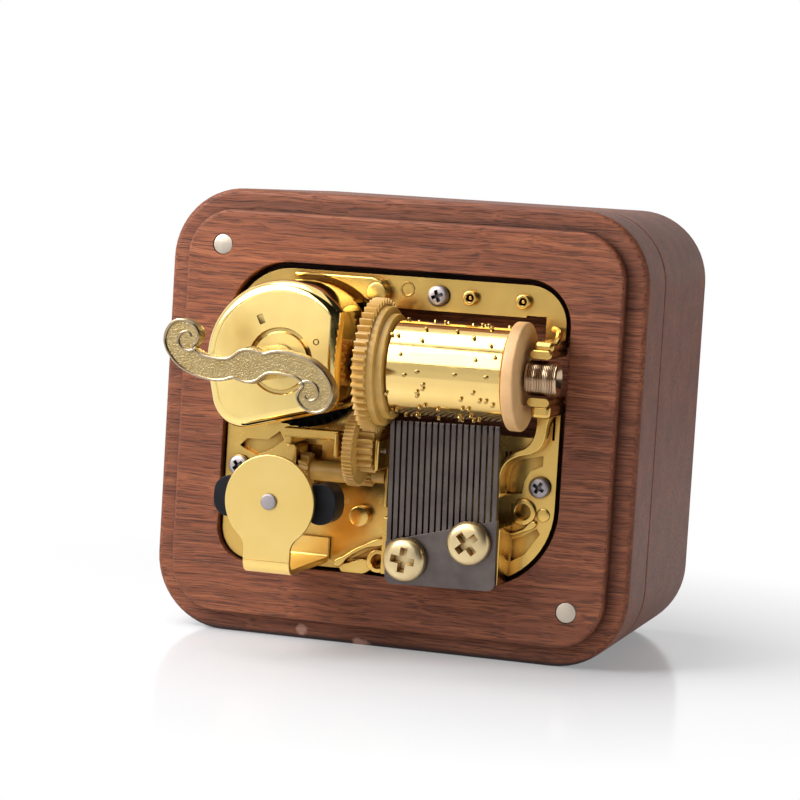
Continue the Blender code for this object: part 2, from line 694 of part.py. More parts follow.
def unite_bearings(item, root):
    """Comb ledge, bridge bar and the ears and pillar that carry the arbors."""
    ledge_top = COMB_FRONT - COMB_THICKNESS - SEAT_GAP
    unite(block((COMB_X - LEDGE_WIDTH / 2, LEDGE_BOTTOM, root),
                (COMB_X + LEDGE_WIDTH / 2, LEDGE_BOTTOM + LEDGE_HEIGHT, ledge_top)), item)
    for x, low_up, high_up, top in (
        (EAR_RIGHT, 27.0 * MM, SECOND_UP + 1.8 * MM, DRUM_OUT + 2.5 * MM),
        (EAR_RIGHT, 21.2 * MM, 27.2 * MM, THIRD_OUT + 1.4 * MM),
        (EAR_LEFT, SECOND_UP - 1.4 * MM, SECOND_UP + 2.2 * MM, DRUM_OUT + 2.5 * MM),
    ):
        unite(block((x, low_up, root), (x + EAR_THICKNESS, high_up, top)), item)
    pillar = rounded_rectangle(
        PILLAR_LEFT, PILLAR_LEFT + PILLAR_THICKNESS, THIRD_UP - 1.8 * MM, THIRD_UP + 3.8 * MM,
        (0.6 * MM, 0.6 * MM, 0.1 * MM, 0.1 * MM), 3,
    )
    unite(plate([pillar], root, THIRD_OUT + 2.2 * MM), item)
    bar_left = EAR_LEFT - 8.6 * MM
    unite(block((bar_left, 30.5 * MM, 4.4 * MM), (EAR_LEFT + 0.3 * MM, 31.9 * MM, 6.0 * MM)), item)
    unite(block((bar_left, 29.5 * MM, root), (bar_left + 1.2 * MM, 31.3 * MM, 5.9 * MM)), item)


def cut_base_windows(item):
    """Openings for the drum, for the bush at its right and for the worm wheel."""
    low, high = BASE_BACK - 1 * MM, BASE_TOP + 1 * MM
    left = DRUM_GEAR_LEFT - 0.7 * MM
    bottom, top = DRUM_UP - 9.2 * MM, DRUM_UP + 7.9 * MM
    disc_left, right = END_DISC_LEFT - 0.7 * MM, END_DISC_RIGHT + 0.5 * MM
    outside = POCKET_RIGHT + 1 * MM
    drum = [
        (left, bottom), (right, bottom), (right, STRIP_UP), (outside, STRIP_UP), (outside, ARM_UP),
        (right, ARM_UP), (right, top + 0.3 * MM), (disc_left, top + 0.3 * MM), (disc_left, top),
        (left, top),
    ]
    cut(plate([drum], low, high), item)
    slot = ((23.6 * MM, 32.6 * MM), (23.95 * MM, STRIP_UP + 0.1 * MM))
    cut(block((*slot[0], low), (*slot[1], high)), item)
    reach = (WORM_WHEEL_FACE / 2 + 0.6 * MM, WORM_WHEEL_RADIUS + 1.0 * MM)
    cut(block((GOVERNOR_X - reach[0], THIRD_UP - reach[1], BASE_TOP - 1.2 * MM),
              (GOVERNOR_X + reach[0], THIRD_UP + reach[1], high)), item)
    for depth, corners in RELIEFS:
        cut(plate([in_mm(corners)], BASE_TOP - depth * MM, high), item)


def cut_base_holes(item):
    for x, up in BASE_SCREW_PLACES.values():
        hole = rod(BASE_SCREW_SHANK_RADIUS + SEAT_GAP, -POCKET_DEPTH, 0, 16)
        cut(hole, item, (x, up, 0))
    for x, up, radius, front, bore in BOSSES:
        if bore:
            cut(rod(bore * MM, BASE_TOP - 1.2 * MM, (front + 1) * MM, 12), item, (x * MM, up * MM, 0))
    cut(rod(WIND_ARBOR_RADIUS + RUNNING_GAP, BASE_BACK - 1 * MM, 0, 24), item, (WIND_X, DRUM_UP, 0))
    cut(rod(WORM_CORE_RADIUS + RUNNING_GAP, BASE_TOP - 1.0 * MM, 0, 16), item,
        (GOVERNOR_X, GOVERNOR_UP, 0))
    for up, out, left, right in ((SECOND_UP, DRUM_OUT, EAR_LEFT, EAR_RIGHT),
                                 (THIRD_UP, THIRD_OUT, PILLAR_LEFT, EAR_RIGHT)):
        bore = rod(ARBOR_PIN_RADIUS + RUNNING_GAP, left - 1 * MM, right + EAR_THICKNESS + 1 * MM, 16)
        cut(bore, item, (0, up, out), ALONG_X)
    for x, up in comb_screw_holes():
        cut(rod(COMB_SCREW_SHANK_RADIUS + SEAT_GAP, 0, COMB_FRONT, 16), item, (x, up, 0))


def comb_screw_holes():
    return COMB_SCREW_PLACES.values()


def screw(name, face, place, head, shank, length, finish):
    """Cross-recessed pan head screw whose seat is at its own origin."""
    head_radius, head_height = head
    crown = turned([
        (0, head_height), (head_radius * 0.6, head_height * 0.93), (head_radius * 0.88, head_height * 0.7),
        (head_radius, head_height * 0.35), (head_radius, 0), (shank, 0), (shank, -length), (0, -length),
    ], 20)
    item = add(name, crown, finish, place, parent=face)
    reach = head_radius * 0.58
    low = head_height - head_height * 0.55
    cross = add_cross(reach, low, head_height * 2)
    cut(cross[0], item)
    cut(cross[1], item)
    smooth_round_faces(item)
    return item


def add_cross(reach, low, high):
    half = reach * 0.28
    return (
        block((-reach, -half, low), (reach, half, high)),
        block((-half, -reach, low), (half, reach, high)),
    )


def make_base_screws(face):
    for side, (x, up) in BASE_SCREW_PLACES.items():
        screw(
            "base_screw_" + side, face, (x, up, BASE_TOP + SEAT_GAP),
            (BASE_SCREW_HEAD_RADIUS, BASE_SCREW_HEAD_HEIGHT), BASE_SCREW_SHANK_RADIUS,
            BASE_SCREW_LENGTH, bright_steel(),
        )


def make_comb(face):
    outline = comb_outline()
    item = add("comb", plate([outline], -COMB_THICKNESS, 0), grey_steel(),
               (COMB_X, COMB_TIP_UP, COMB_FRONT), (0, 0, COMB_TURN), face)
    for x, up in comb_screw_holes():
        away = Vector((x - COMB_X, up - COMB_TIP_UP, 0))
        away.rotate(Matrix.Rotation(-COMB_TURN, 3, "Z"))
        hole = rod(COMB_SCREW_SHANK_RADIUS + SEAT_GAP, -COMB_THICKNESS - 1 * MM, 1 * MM, 20)
        cut(hole, item, away)
    for side, (x, up) in COMB_SCREW_PLACES.items():
        screw(
            "comb_screw_" + side, face, (x, up, COMB_FRONT + SEAT_GAP),
            (COMB_SCREW_HEAD_RADIUS, COMB_SCREW_HEAD_HEIGHT), COMB_SCREW_SHANK_RADIUS,
            COMB_THICKNESS + 4.0 * MM, pale_gold(),
        )


def make_drum(face):
    line = (0, DRUM_UP, DRUM_OUT)
    tube = turned([
        (DRUM_RADIUS - DRUM_WALL, DRUM_RIGHT), (DRUM_RADIUS, DRUM_RIGHT),
        (DRUM_RADIUS, DRUM_LEFT), (DRUM_RADIUS - DRUM_WALL, DRUM_LEFT),
    ], 48)
    smooth_round_faces(add("drum", tube, gold_plate(), line, ALONG_X, face))
    shaft = rod(DRUM_SHAFT_RADIUS, HOUSING_SIDE - HOUSING_WALL - 0.4 * MM, BUSH_RIGHT - 1.0 * MM, 20)
    smooth_round_faces(add("drum_shaft", shaft, bright_steel(), line, ALONG_X, face))
    bore = DRUM_SHAFT_RADIUS + SEAT_GAP
    disc = turned([
        (bore, END_DISC_RIGHT), (END_DISC_RADIUS - 0.3 * MM, END_DISC_RIGHT),
        (END_DISC_RADIUS, END_DISC_RIGHT - 0.3 * MM), (END_DISC_RADIUS, END_DISC_LEFT + 0.3 * MM),
        (END_DISC_RADIUS - 0.3 * MM, END_DISC_LEFT), (bore, END_DISC_LEFT),
    ], 40)
    smooth_round_faces(add("drum_end_disc", disc, beige_plastic(), line, ALONG_X, face))
    make_drum_gear(face, line, bore)
    make_bush(face, line)


def make_drum_gear(face, line, bore):
    """Moulding with the large gear, its flanges and the pinion that the spring drives."""
    left = DRUM_GEAR_LEFT
    right = left + DRUM_GEAR_FACE
    teeth = gear_outline(DRUM_GEAR_TEETH, DRUM_GEAR_MODULE, 0)
    item = add("drum_gear", plate([teeth], left, right), tan_plastic(), line, ALONG_X, face)
    flanges = turned([
        (0, DRUM_LEFT - SEAT_GAP), (FLANGE_TWO_RADIUS, DRUM_LEFT - SEAT_GAP),
        (FLANGE_TWO_RADIUS, right + FLANGE_THICKNESS), (FLANGE_ONE_RADIUS, right + FLANGE_THICKNESS),
        (FLANGE_ONE_RADIUS, right - 0.4 * MM), (0, right - 0.4 * MM),
    ], 40)
    unite(flanges, item)
    pinion = gear_outline(DRIVE_PINION_TEETH, DRIVE_MODULE, 0)
    pinion_left = DRIVE_PINION_LEFT
    unite(plate([pinion], pinion_left, left + 0.4 * MM), item)
    cut(rod(bore, pinion_left - 1 * MM, DRUM_LEFT + 1 * MM, 20), item)
    smooth_round_faces(item)


def make_bush(face, line):
    """Threaded bush that carries the right end of the drum shaft."""
    left = BUSH_RIGHT - BUSH_LENGTH
    pitch = BUSH_LENGTH / (BUSH_THREADS + 1)
    bore = DRUM_SHAFT_RADIUS + SEAT_GAP
    valley = BUSH_RADIUS - BUSH_THREAD_DEPTH
    mouth = BUSH_RIGHT - 0.8 * MM
    profile = [(bore, mouth), (BUSH_RADIUS * 0.7, BUSH_RIGHT), (valley, BUSH_RIGHT)]
    for i in range(BUSH_THREADS):
        crest = BUSH_RIGHT - (i + 1) * pitch
        profile += [(BUSH_RADIUS, crest), (valley, crest - pitch / 2)]
    profile += [(valley, left), (bore, left)]
    smooth_round_faces(add("threaded_bush", turned(profile, 20), pale_gold(), line, ALONG_X, face))


def make_second_gear(face):
    """Wheel and pinion moulded in one, between the drum gear and the third gear."""
    line = (0, SECOND_UP, DRUM_OUT)
    towards_third = math.atan2(-THIRD_DROP, DRUM_OUT - THIRD_OUT)
    wheel = gear_outline(SECOND_WHEEL_TEETH, SECOND_WHEEL_MODULE, towards_third)
    left = SECOND_WHEEL_LEFT
    right = left + SECOND_WHEEL_FACE
    item = add("second_gear", plate([wheel], left, right), tan_plastic(), line, ALONG_X, face)
    gap_up = math.pi / 2 + math.pi / SECOND_PINION_TEETH
    pinion = gear_outline(SECOND_PINION_TEETH, DRUM_GEAR_MODULE, gap_up)
    unite(plate([pinion], right - 0.4 * MM, EAR_RIGHT - SEAT_GAP), item)
    unite(rod(1.0 * MM, EAR_LEFT + EAR_THICKNESS + SEAT_GAP, left + 0.3 * MM, 20), item)
    cut(rod(ARBOR_PIN_RADIUS + SEAT_GAP, left - 3 * MM, right + 4 * MM, 16), item)
    pin = rod(ARBOR_PIN_RADIUS, EAR_LEFT - 0.4 * MM, EAR_RIGHT + EAR_THICKNESS + 0.4 * MM, 12)
    smooth_round_faces(add("second_arbor", pin, bright_steel(), line, ALONG_X, face))


def make_third_gear(face):
    """Pinion, long body and worm wheel moulded in one."""
    line = (0, THIRD_UP, THIRD_OUT)
    towards_second = math.atan2(THIRD_DROP, THIRD_OUT - DRUM_OUT)
    body_left = PILLAR_LEFT + PILLAR_THICKNESS + SEAT_GAP
    wheel_right = GOVERNOR_X + WORM_WHEEL_FACE / 2
    body = rod(THIRD_BODY_RADIUS, wheel_right - 0.2 * MM, SECOND_WHEEL_LEFT - SEAT_GAP, 24)
    item = add("third_gear", body, tan_plastic(), line, ALONG_X, face)
    pinion = gear_outline(THIRD_PINION_TEETH, SECOND_WHEEL_MODULE,
                          towards_second + math.pi / THIRD_PINION_TEETH)
    pinion_right = SECOND_WHEEL_LEFT + SECOND_WHEEL_FACE + 0.3 * MM
    unite(plate([pinion], SECOND_WHEEL_LEFT - SEAT_GAP - 0.2 * MM, pinion_right), item)
    unite(rod(1.0 * MM, pinion_right - 0.2 * MM, EAR_RIGHT - SEAT_GAP, 20), item)
    wheel = worm_wheel_mesh()
    unite(wheel, item, (0, 0, GOVERNOR_X))
    cut(rod(ARBOR_PIN_RADIUS + 0.2 * MM, body_left - 1 * MM, EAR_RIGHT, 16), item)
    pin = rod(ARBOR_PIN_RADIUS, PILLAR_LEFT - 0.4 * MM, EAR_RIGHT + EAR_THICKNESS + 0.4 * MM, 12)
    smooth_round_faces(add("third_arbor", pin, bright_steel(), line, ALONG_X, face))


def worm_wheel_mesh():
    """Helical wheel, its teeth slanted by the lead of the worm."""
    module = 2 * WORM_WHEEL_RADIUS / WORM_WHEEL_TEETH
    outline = gear_outline(WORM_WHEEL_TEETH, module, -math.pi / 2, 0.75, 0.95)
    half = WORM_WHEEL_FACE / 2
    mesh = plate([outline], -half, half)
    slant = WORM_LEAD / (2 * math.pi * WORM_THREAD_RADIUS) / WORM_WHEEL_RADIUS
    for corner in mesh.vertices:
        corner.co.rotate(Matrix.Rotation(slant * corner.co.z, 3, "Z"))
    return mesh


def make_governor(face):
    place = (GOVERNOR_X, GOVERNOR_UP, 0)
    steps = 12 * WORM_TURNS
    half_length = WORM_LEAD * WORM_TURNS / 2
    thread = []
    for i in range(steps + 1):
        share = i / steps - 0.5
        turn = 2 * math.pi * WORM_TURNS * share + WORM_PHASE
        thread.append((WORM_THREAD_RADIUS * math.cos(turn), WORM_THREAD_RADIUS * math.sin(turn),
                       THIRD_OUT + 2 * half_length * share))
    core = rod(WORM_CORE_RADIUS, WORM_FOOT, FAN_LOW + FAN_HEIGHT + WORM_END, 12)
    worm = add("governor_worm", core, bright_steel(), place, parent=face)
    unite(wire(thread, WORM_THREAD_BEAD), worm)
    smooth_round_faces(worm)
    make_fan(face, place)
    make_bracket(face, place)


def wing_outline(side):
    """One solid wing of the fan from its centre out, with rounded corners; angles in degrees."""
    reach = FAN_RADIUS - FAN_CORNER_RADIUS
    half = math.degrees(FAN_HALF_ANGLE)
    lean = half - math.degrees(math.asin(FAN_CORNER_RADIUS / reach))
    low, high = arc((0, 0), reach, side - lean, side + lean, 1)
    return (
        [(0, 0)] + arc(low, FAN_CORNER_RADIUS, side - half - 90, side - lean, 4)
        + arc((0, 0), FAN_RADIUS, side - lean, side + lean, 6)[1:-1]
        + arc(high, FAN_CORNER_RADIUS, side + lean, side + half + 90, 4)
    )


def make_fan(face, place):
    top = FAN_LOW + FAN_HEIGHT
    hub = rod(FAN_HUB_RADIUS, FAN_LOW, top, 24)
    item = add("governor_fan", hub, black_plastic(), place, parent=face)
    for side in (0, 180):
        unite(plate([wing_outline(side)], FAN_LOW, top), item)
    cut(rod(WORM_CORE_RADIUS + SEAT_GAP, FAN_LOW - 1 * MM, top + 1 * MM, 16), item)
    smooth_round_faces(item)


def make_bracket(face, place):
    """Round cap over the fan, with a stem folded back to the base."""
    low = BRACKET_FRONT - BRACKET_THICKNESS
    item = add("governor_bracket", rod(BRACKET_RADIUS, low, BRACKET_FRONT, 56), gold_plate(),
               place, parent=face)
    half = BRACKET_STEM_WIDTH / 2
    bottom = BRACKET_LEG_UP - GOVERNOR_UP
    base = BASE_TOP + SEAT_GAP
    unite(plate([neck_outline(half, bottom + BRACKET_FOLD_RADIUS)], low, BRACKET_FRONT), item)
    centre = (BRACKET_FOLD_RADIUS - BRACKET_FRONT, bottom + BRACKET_FOLD_RADIUS)
    inner_radius = BRACKET_FOLD_RADIUS - BRACKET_THICKNESS
    joint = centre[1] + BRACKET_THICKNESS
    leg = arc(centre, BRACKET_FOLD_RADIUS, 180, 270, 6) + [
        (-base, bottom), (-base, bottom + BRACKET_FOOT),
        (-base - BRACKET_THICKNESS, bottom + BRACKET_FOOT),
        (-base - BRACKET_THICKNESS, bottom + BRACKET_THICKNESS),
    ] + arc(centre, inner_radius, 270, 180, 6) + [(-low, joint), (-BRACKET_FRONT, joint)]
    unite(plate([leg], -half, half), item, turn=ALONG_X)
    cut(rod(RIVET_SHANK_RADIUS + SEAT_GAP, low - 1 * MM, BRACKET_FRONT + 1 * MM, 16), item)
    smooth_round_faces(item)
    head = turned([
        (0, 0.35 * MM), (RIVET_RADIUS * 0.8, 0.3 * MM), (RIVET_RADIUS, 0.1 * MM), (RIVET_RADIUS, 0),
        (RIVET_SHANK_RADIUS, 0), (RIVET_SHANK_RADIUS, -BRACKET_THICKNESS - 0.9 * MM),
        (0, -BRACKET_THICKNESS - 0.9 * MM),
    ], 24)
    rivet = add("governor_rivet", head, bright_steel(),
                (place[0], place[1], BRACKET_FRONT + SEAT_GAP), parent=face)
    smooth_round_faces(rivet)


def neck_outline(half, bottom):
    """The cap's stem, flared where it meets the round."""
    reach = half + BRACKET_NECK_RADIUS
    meet = math.sqrt((BRACKET_RADIUS + BRACKET_NECK_RADIUS) ** 2 - reach ** 2)
    turn = math.degrees(math.atan2(meet, reach))
    return (
        [(half, bottom)]
        + arc((reach, -meet), BRACKET_NECK_RADIUS, 180, 180 - turn, 6)
        + [(0, 0)]
        + arc((-reach, -meet), BRACKET_NECK_RADIUS, turn, 0, 6)
        + [(-half, bottom)]
    )


def make_spring_housing(face):
    """Stamped cup over the mainspring; two sides stop short above the crown gear."""
    low = BASE_TOP + SEAT_GAP
    cup = round_edges(plate([housing_outline(0)], low, HOUSING_FRONT), HOUSING_FRONT,
                      HOUSING_EDGE_ROUND, 3)
    item = add("spring_housing", cup, gold_plate(), parent=face)
    hollow = plate([housing_outline(HOUSING_WALL)], low - 1 * MM, HOUSING_FRONT - HOUSING_WALL)
    cut(round_edges(hollow, HOUSING_FRONT - HOUSING_WALL, HOUSING_EDGE_ROUND - HOUSING_WALL, 1), item)
    cut(plate([short_sides()], low - 1 * MM, HOUSING_SHORT_SIDE), item)
    centre = (WIND_X, DRUM_UP, 0)
    half = HOUSING_RING_WIDTH / 2
    ring = plate([arc((0, 0), HOUSING_RING_RADIUS + half, 0, 350, 35),
                  arc((0, 0), HOUSING_RING_RADIUS - half, 0, 350, 35)],
                 HOUSING_FRONT - HOUSING_RING_DEPTH, HOUSING_FRONT + 1 * MM)
    cut(ring, item, centre)
    cut(rod(HOUSING_HOLE_RADIUS, HOUSING_FRONT - 3 * MM, HOUSING_FRONT + 1 * MM, 24), item, centre)
    dent_low = HOUSING_FRONT - HOUSING_RING_DEPTH
    wide, tall = HOUSING_DENT_SIZE
    cut(block((-wide / 2, -tall / 2, dent_low), (wide / 2, tall / 2, HOUSING_FRONT + 1 * MM)), item,
        (*HOUSING_DENT, 0), (0, 0, math.radians(25)))
    pivot = rod(DRUM_SHAFT_RADIUS + RUNNING_GAP, HOUSING_SIDE - 2 * MM, HOUSING_SIDE + 1 * MM, 20)
    cut(pivot, item, (0, DRUM_UP, DRUM_OUT), ALONG_X)
    smooth_round_faces(item)


def make_winding(face):
    """Arbor, mainspring, crown gear and its clutch, all on the winding line."""
    centre = (WIND_X, DRUM_UP, 0)
    crown_low = CROWN_PITCH_OUT - 1.2 * DRIVE_MODULE - CROWN_DISC_THICKNESS
    crown_face = crown_low + CROWN_DISC_THICKNESS
    collar_low = crown_face + CLUTCH_ROOM
    collar_top = HOUSING_FRONT - HOUSING_WALL - SEAT_GAP
    arbor_top = KEY_FRONT - KEY_THICKNESS - KEY_WEB - KEY_SOCKET_SPACE
    arbor = turned([
        (0, arbor_top), (WIND_ARBOR_RADIUS, arbor_top), (WIND_ARBOR_RADIUS, collar_top),
        (WIND_COLLAR_RADIUS, collar_top), (WIND_COLLAR_RADIUS, collar_low), (WIND_ARBOR_RADIUS, collar_low),
        (WIND_ARBOR_RADIUS, BASE_BACK), (0, BASE_BACK),
    ], 24)
    smooth_round_faces(add("winding_arbor", arbor, bright_steel(), centre, parent=face))
    spring_low = collar_top - SPRING_WIDTH
    spring = plate([spring_outline()], spring_low, collar_top)
    smooth_round_faces(add("mainspring", spring, grey_steel(), centre, parent=face))
    clutch_bore = WIND_ARBOR_RADIUS + RUNNING_GAP
    clutch_low, clutch_top = crown_face + SEAT_GAP, collar_low - SEAT_GAP
    clutch = turned([
        (clutch_bore, clutch_top), (WIND_COLLAR_RADIUS, clutch_top),
        (WIND_COLLAR_RADIUS, clutch_low), (clutch_bore, clutch_low),
    ], 24)
    smooth_round_faces(add("clutch_sleeve", clutch, bright_steel(), centre, parent=face))
    make_crown_gear(face, centre, crown_low, crown_face)


def make_crown_gear(face, centre, low, high):
    """Face gear under the housing that drives the pinion on the drum."""
    outer = CROWN_RADIUS + CROWN_RIM / 2
    disc = turned([
        (WIND_ARBOR_RADIUS + RUNNING_GAP, high), (outer, high), (outer, low),
        (WIND_ARBOR_RADIUS + RUNNING_GAP, low),
    ], CROWN_TEETH)
    item = add("crown_gear", disc, black_plastic(), centre, parent=face)
    pitch_angle = 2 * math.pi / CROWN_TEETH
    half = TOOTH_SHARE * math.pi * DRIVE_MODULE / 2
    tip = CROWN_PITCH_OUT + 0.9 * DRIVE_MODULE
    teeth = bmesh.new()
    foot = high - 0.3 * MM
    middle = (foot + tip) / 2
    lean = math.tan(PRESSURE_ANGLE) / half
    for i in range(CROWN_TEETH):
        turn = Matrix.Rotation((i + 0.5) * pitch_angle, 4, "Z")
        place = Matrix.Translation((CROWN_RADIUS, 0, middle))
        size = Matrix.Diagonal((CROWN_RIM, 2 * half, tip - foot, 1))
        made = bmesh.ops.create_cube(teeth, size=1.0, matrix=place @ size)
        for corner in made["verts"]:
            corner.co.y *= 1 + (CROWN_PITCH_OUT - corner.co.z) * lean
            corner.co = turn @ corner.co
    unite(as_mesh(teeth, "crown_teeth"), item)
    smooth_round_faces(item)


def make_key(face):
    centre = (WIND_X, DRUM_UP, 0)
    low = KEY_FRONT - KEY_THICKNESS
    body = plate([key_outline()], low, KEY_FRONT, smooth=True)
    item = add("key", body, pale_gold(), centre, parent=face)
    hub_low = HOUSING_FRONT + 2 * SEAT_GAP
    unite(rod(KEY_HUB_RADIUS, hub_low, low + 0.5 * MM, 32), item)
    cut(rod(WIND_ARBOR_RADIUS + SEAT_GAP, hub_low - 1 * MM, low - KEY_WEB, 24), item)
    smooth_round_faces(item)


def main():
    clear_scene()
    bpy.context.scene.collection.children.link(part_objects)
    bpy.context.scene.collection.children.link(cutter_objects)
    face = bpy.data.objects.new("face_frame", None)
    face.location = (0, PLATFORM_FACE_Y, 0)
    face.rotation_euler = (math.pi / 2, 0, 0)
    part_objects.objects.link(face)
    make_front_block(face)
    make_rear_box(face)
    make_magnets(face)
    make_base_casting(face)
    make_base_screws(face)
    make_comb(face)
    make_drum(face)
    make_second_gear(face)
    make_third_gear(face)
    make_governor(face)
    make_spring_housing(face)
    make_winding(face)
    make_key(face)


main()
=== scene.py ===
"""Dresses the music box: oiled walnut, gilt clockwork movement and scroll key.

Pieces are drawn in millimetres in the frame of the front face, where X runs
right, Y runs up from the table and Z comes out of the wood, and are laid into
the model's own frame when they are finished.
"""
import math
import random

import bmesh
import bpy
from mathutils import Matrix, Vector


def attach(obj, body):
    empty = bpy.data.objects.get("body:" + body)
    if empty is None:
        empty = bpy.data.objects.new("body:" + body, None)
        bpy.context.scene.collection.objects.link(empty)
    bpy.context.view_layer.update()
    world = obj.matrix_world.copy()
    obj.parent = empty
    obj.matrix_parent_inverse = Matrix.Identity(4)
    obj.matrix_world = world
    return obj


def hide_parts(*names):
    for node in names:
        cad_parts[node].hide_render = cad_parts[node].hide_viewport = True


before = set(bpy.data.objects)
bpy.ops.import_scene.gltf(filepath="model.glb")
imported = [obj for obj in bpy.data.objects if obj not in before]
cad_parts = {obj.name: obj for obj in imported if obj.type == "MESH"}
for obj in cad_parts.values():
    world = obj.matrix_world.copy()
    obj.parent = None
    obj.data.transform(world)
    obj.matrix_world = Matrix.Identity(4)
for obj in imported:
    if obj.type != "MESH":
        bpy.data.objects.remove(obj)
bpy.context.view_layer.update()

MM = 0.001
FACE_Y = -23.585
TO_MODEL = Matrix(((MM, 0, 0, 0), (0, 0, -MM, FACE_Y * MM), (0, MM, 0, 0), (0, 0, 0, 1)))

# Wooden box
HALF_WIDTH, HEIGHT = 36.0, 65.6
RIM, SEAM = -2.06, -13.56
REAR_FRONT, REAR_BACK = -13.86, -45.11
MAGNETS = {"upper": (-27.5, 57.3), "lower": (27.5, 8.3)}
MAGNET_RADIUS, MAGNET_HOLE = 1.5, 1.55
CORNER, OUTER_EDGE, SEAM_EDGE = 10.7, 0.9, 0.3
CHIPS = ((-12.5, 1.3, 0.75), (-3.4, -0.3, 1.3))

# Movement
BASE_TOP, BASE_BACK = -1.2, -3.2
WIND_X, DRUM_UP, DRUM_OUT = -12.75, 41.9, 6.5
SECOND_UP, THIRD_UP, THIRD_OUT = 29.7725, 25.5225, 1.4505
GOVERNOR_X, GOVERNOR_UP = -12.05, 22.31
DRUM_RADIUS, DRUM_LEFT, DRUM_RIGHT = 6.65, 2.55, 19.1
DRUM_PINS, DRUM_BEATS, DRUM_SEED = 84, 72, 11
HOUSING_TOP, HOUSING_WALL = 14.0, 0.5
KEY_TOP, KEY_THICK = 27.5, 2.5
COMB_PLACE, COMB_TURN = (9.75, 34.45, 6.5), math.radians(1.5)
COMB_WIDTH, COMB_TEETH, COMB_THICK = 16.3, 18, 1.1
LONGEST_TOOTH, SHORTEST_TOOTH, TOOTH_CLEARANCE = 17.4, 13.6, 0.13
PRESSURE_ANGLE = math.radians(20)

# Wheels: teeth and module
CROWN_PINION = (14, 0.42)
DRUM_WHEEL, SECOND_PINION = (48, 0.385), (15, 0.385)
SECOND_WHEEL, THIRD_PINION = (52, 0.2), (14, 0.2)
WORM_TEETH, WORM_RADIUS = 12, 0.75

BASE_SCREWS = {"top": (5.59, 51.99), "right": (22.3, 25.76), "left": (-23.3, 24.96)}
COMB_SCREWS = {"left": (5.27, 14.69), "right": (14.5, 17.88)}


def along_x(up, out):
    """Lays a shape turned about its own Z along the face's X, at a height and reach."""
    return Matrix.Translation((0, up, out)) @ Matrix.Rotation(math.pi / 2, 4, "Y")


DRUM_LINE = along_x(DRUM_UP, DRUM_OUT)


# Outlines
def arc(centre, radius, start, end, steps):
    """Points of an arc, angles in degrees."""
    turn = [math.radians(start + (end - start) * i / steps) for i in range(steps + 1)]
    return [(centre[0] + radius * math.cos(a), centre[1] + radius * math.sin(a)) for a in turn]


def rounded_rectangle(left, right, low, high, radii, steps=14):
    """Radii run top left, top right, bottom right, bottom left."""
    a, b, c, d = radii
    return (
        arc((right - b, high - b), b, 90, 0, steps)
        + arc((right - c, low + c), c, 0, -90, steps)
        + arc((left + d, low + d), d, -90, -180, steps)
        + arc((left + a, high - a), a, 180, 90, steps)
    )


def over(height, radius, steps=5):
    """Inset and height round an edge, from the side up onto a face."""
    turn = [math.pi / 2 * i / steps for i in range(steps + 1)]
    return [(radius * (1 - math.cos(a)), height - radius * (1 - math.sin(a))) for a in turn]


def under(height, radius, steps=5):
    """Inset and height round an edge, from the face below out to the side."""
    return [(inset, 2 * height - up) for inset, up in reversed(over(height, radius, steps))]


def box_loop(inset):
    """Outline of the wooden box, moved inwards."""
    return rounded_rectangle(
        inset - HALF_WIDTH, HALF_WIDTH - inset, inset, HEIGHT - inset, (CORNER - inset,) * 4)


def platform_loop(inset):
    """Outline of the raised platform, moved inwards."""
    return rounded_rectangle(inset - 32.9, 32.9 - inset, 3.1 + inset, 62.5 - inset, (7.1 - inset,) * 4)


def pocket_loop(grow):
    """Outline of the pocket for the movement, moved outwards."""
    radii = [radius + grow for radius in (9.0, 6.5, 12.0, 5.0)]
    return rounded_rectangle(-25.9 - grow, 25.5 + grow, 10.8 - grow, 55.35 + grow, radii)


def housing_loop(inset):
    """D-shaped cup: a round back, a flat beside the drum and a sloping foot."""
    flat = math.degrees(math.acos((8.6 - inset) / (11.4 - inset)))
    return (
        arc((WIND_X, DRUM_UP), 11.4 - inset, flat, 193, 44)
        + arc((WIND_X - 5.55, DRUM_UP - 5.2), 4.8 - inset, 193, 285, 14)
        + arc((WIND_X + 6.1, DRUM_UP - 4.48), 2.5 - inset, 285, 360, 10)
    )


def key_loop():
    """Half of the double scroll; the other half is the same, turned half round."""
    half = [
        (0.0, 2.40), (1.4, 2.15), (2.2, 1.95), (3.0, 2.25), (4.6, 2.50), (6.4, 2.28), (8.4, 1.72),
        (10.3, 0.70), (11.5, -0.50), (12.25, -1.75), (12.45, -3.1), (12.0, -4.5), (11.1, -5.45),
        (9.8, -5.75), (8.6, -5.4), (7.55, -4.6), (7.15, -3.6), (7.4, -2.7), (7.9, -2.0), (7.2, -1.35),
        (5.6, -0.95), (3.9, -0.85), (2.9, -1.0), (2.2, -1.45), (1.3, -2.1)]
    return half + [(-x, -y) for x, y in half]


def involute(angle):
    return math.tan(angle) - angle


def tooth_loop(teeth, module, share=0.4, addendum=0.95, dedendum=1.2):
    """One involute tooth pointing along X, from just inside the root."""
    pitch_radius = module * teeth / 2
    base = pitch_radius * math.cos(PRESSURE_ANGLE)
    root, tip = pitch_radius - dedendum * module, pitch_radius + addendum * module
    half_pitch = share * math.pi / teeth

    def half_width(radius):
        angle = math.acos(base / radius) if radius > base else 0
        return half_pitch + involute(PRESSURE_ANGLE) - involute(angle)

    radii = [root - 0.15] + [root + (tip - root) * i / 5 for i in range(6)]
    flank = [(radius, half_width(radius)) for radius in radii]
    right = [(radius * math.cos(half), -radius * math.sin(half)) for radius, half in flank]
    return right + [(x, -y) for x, y in reversed(right)]


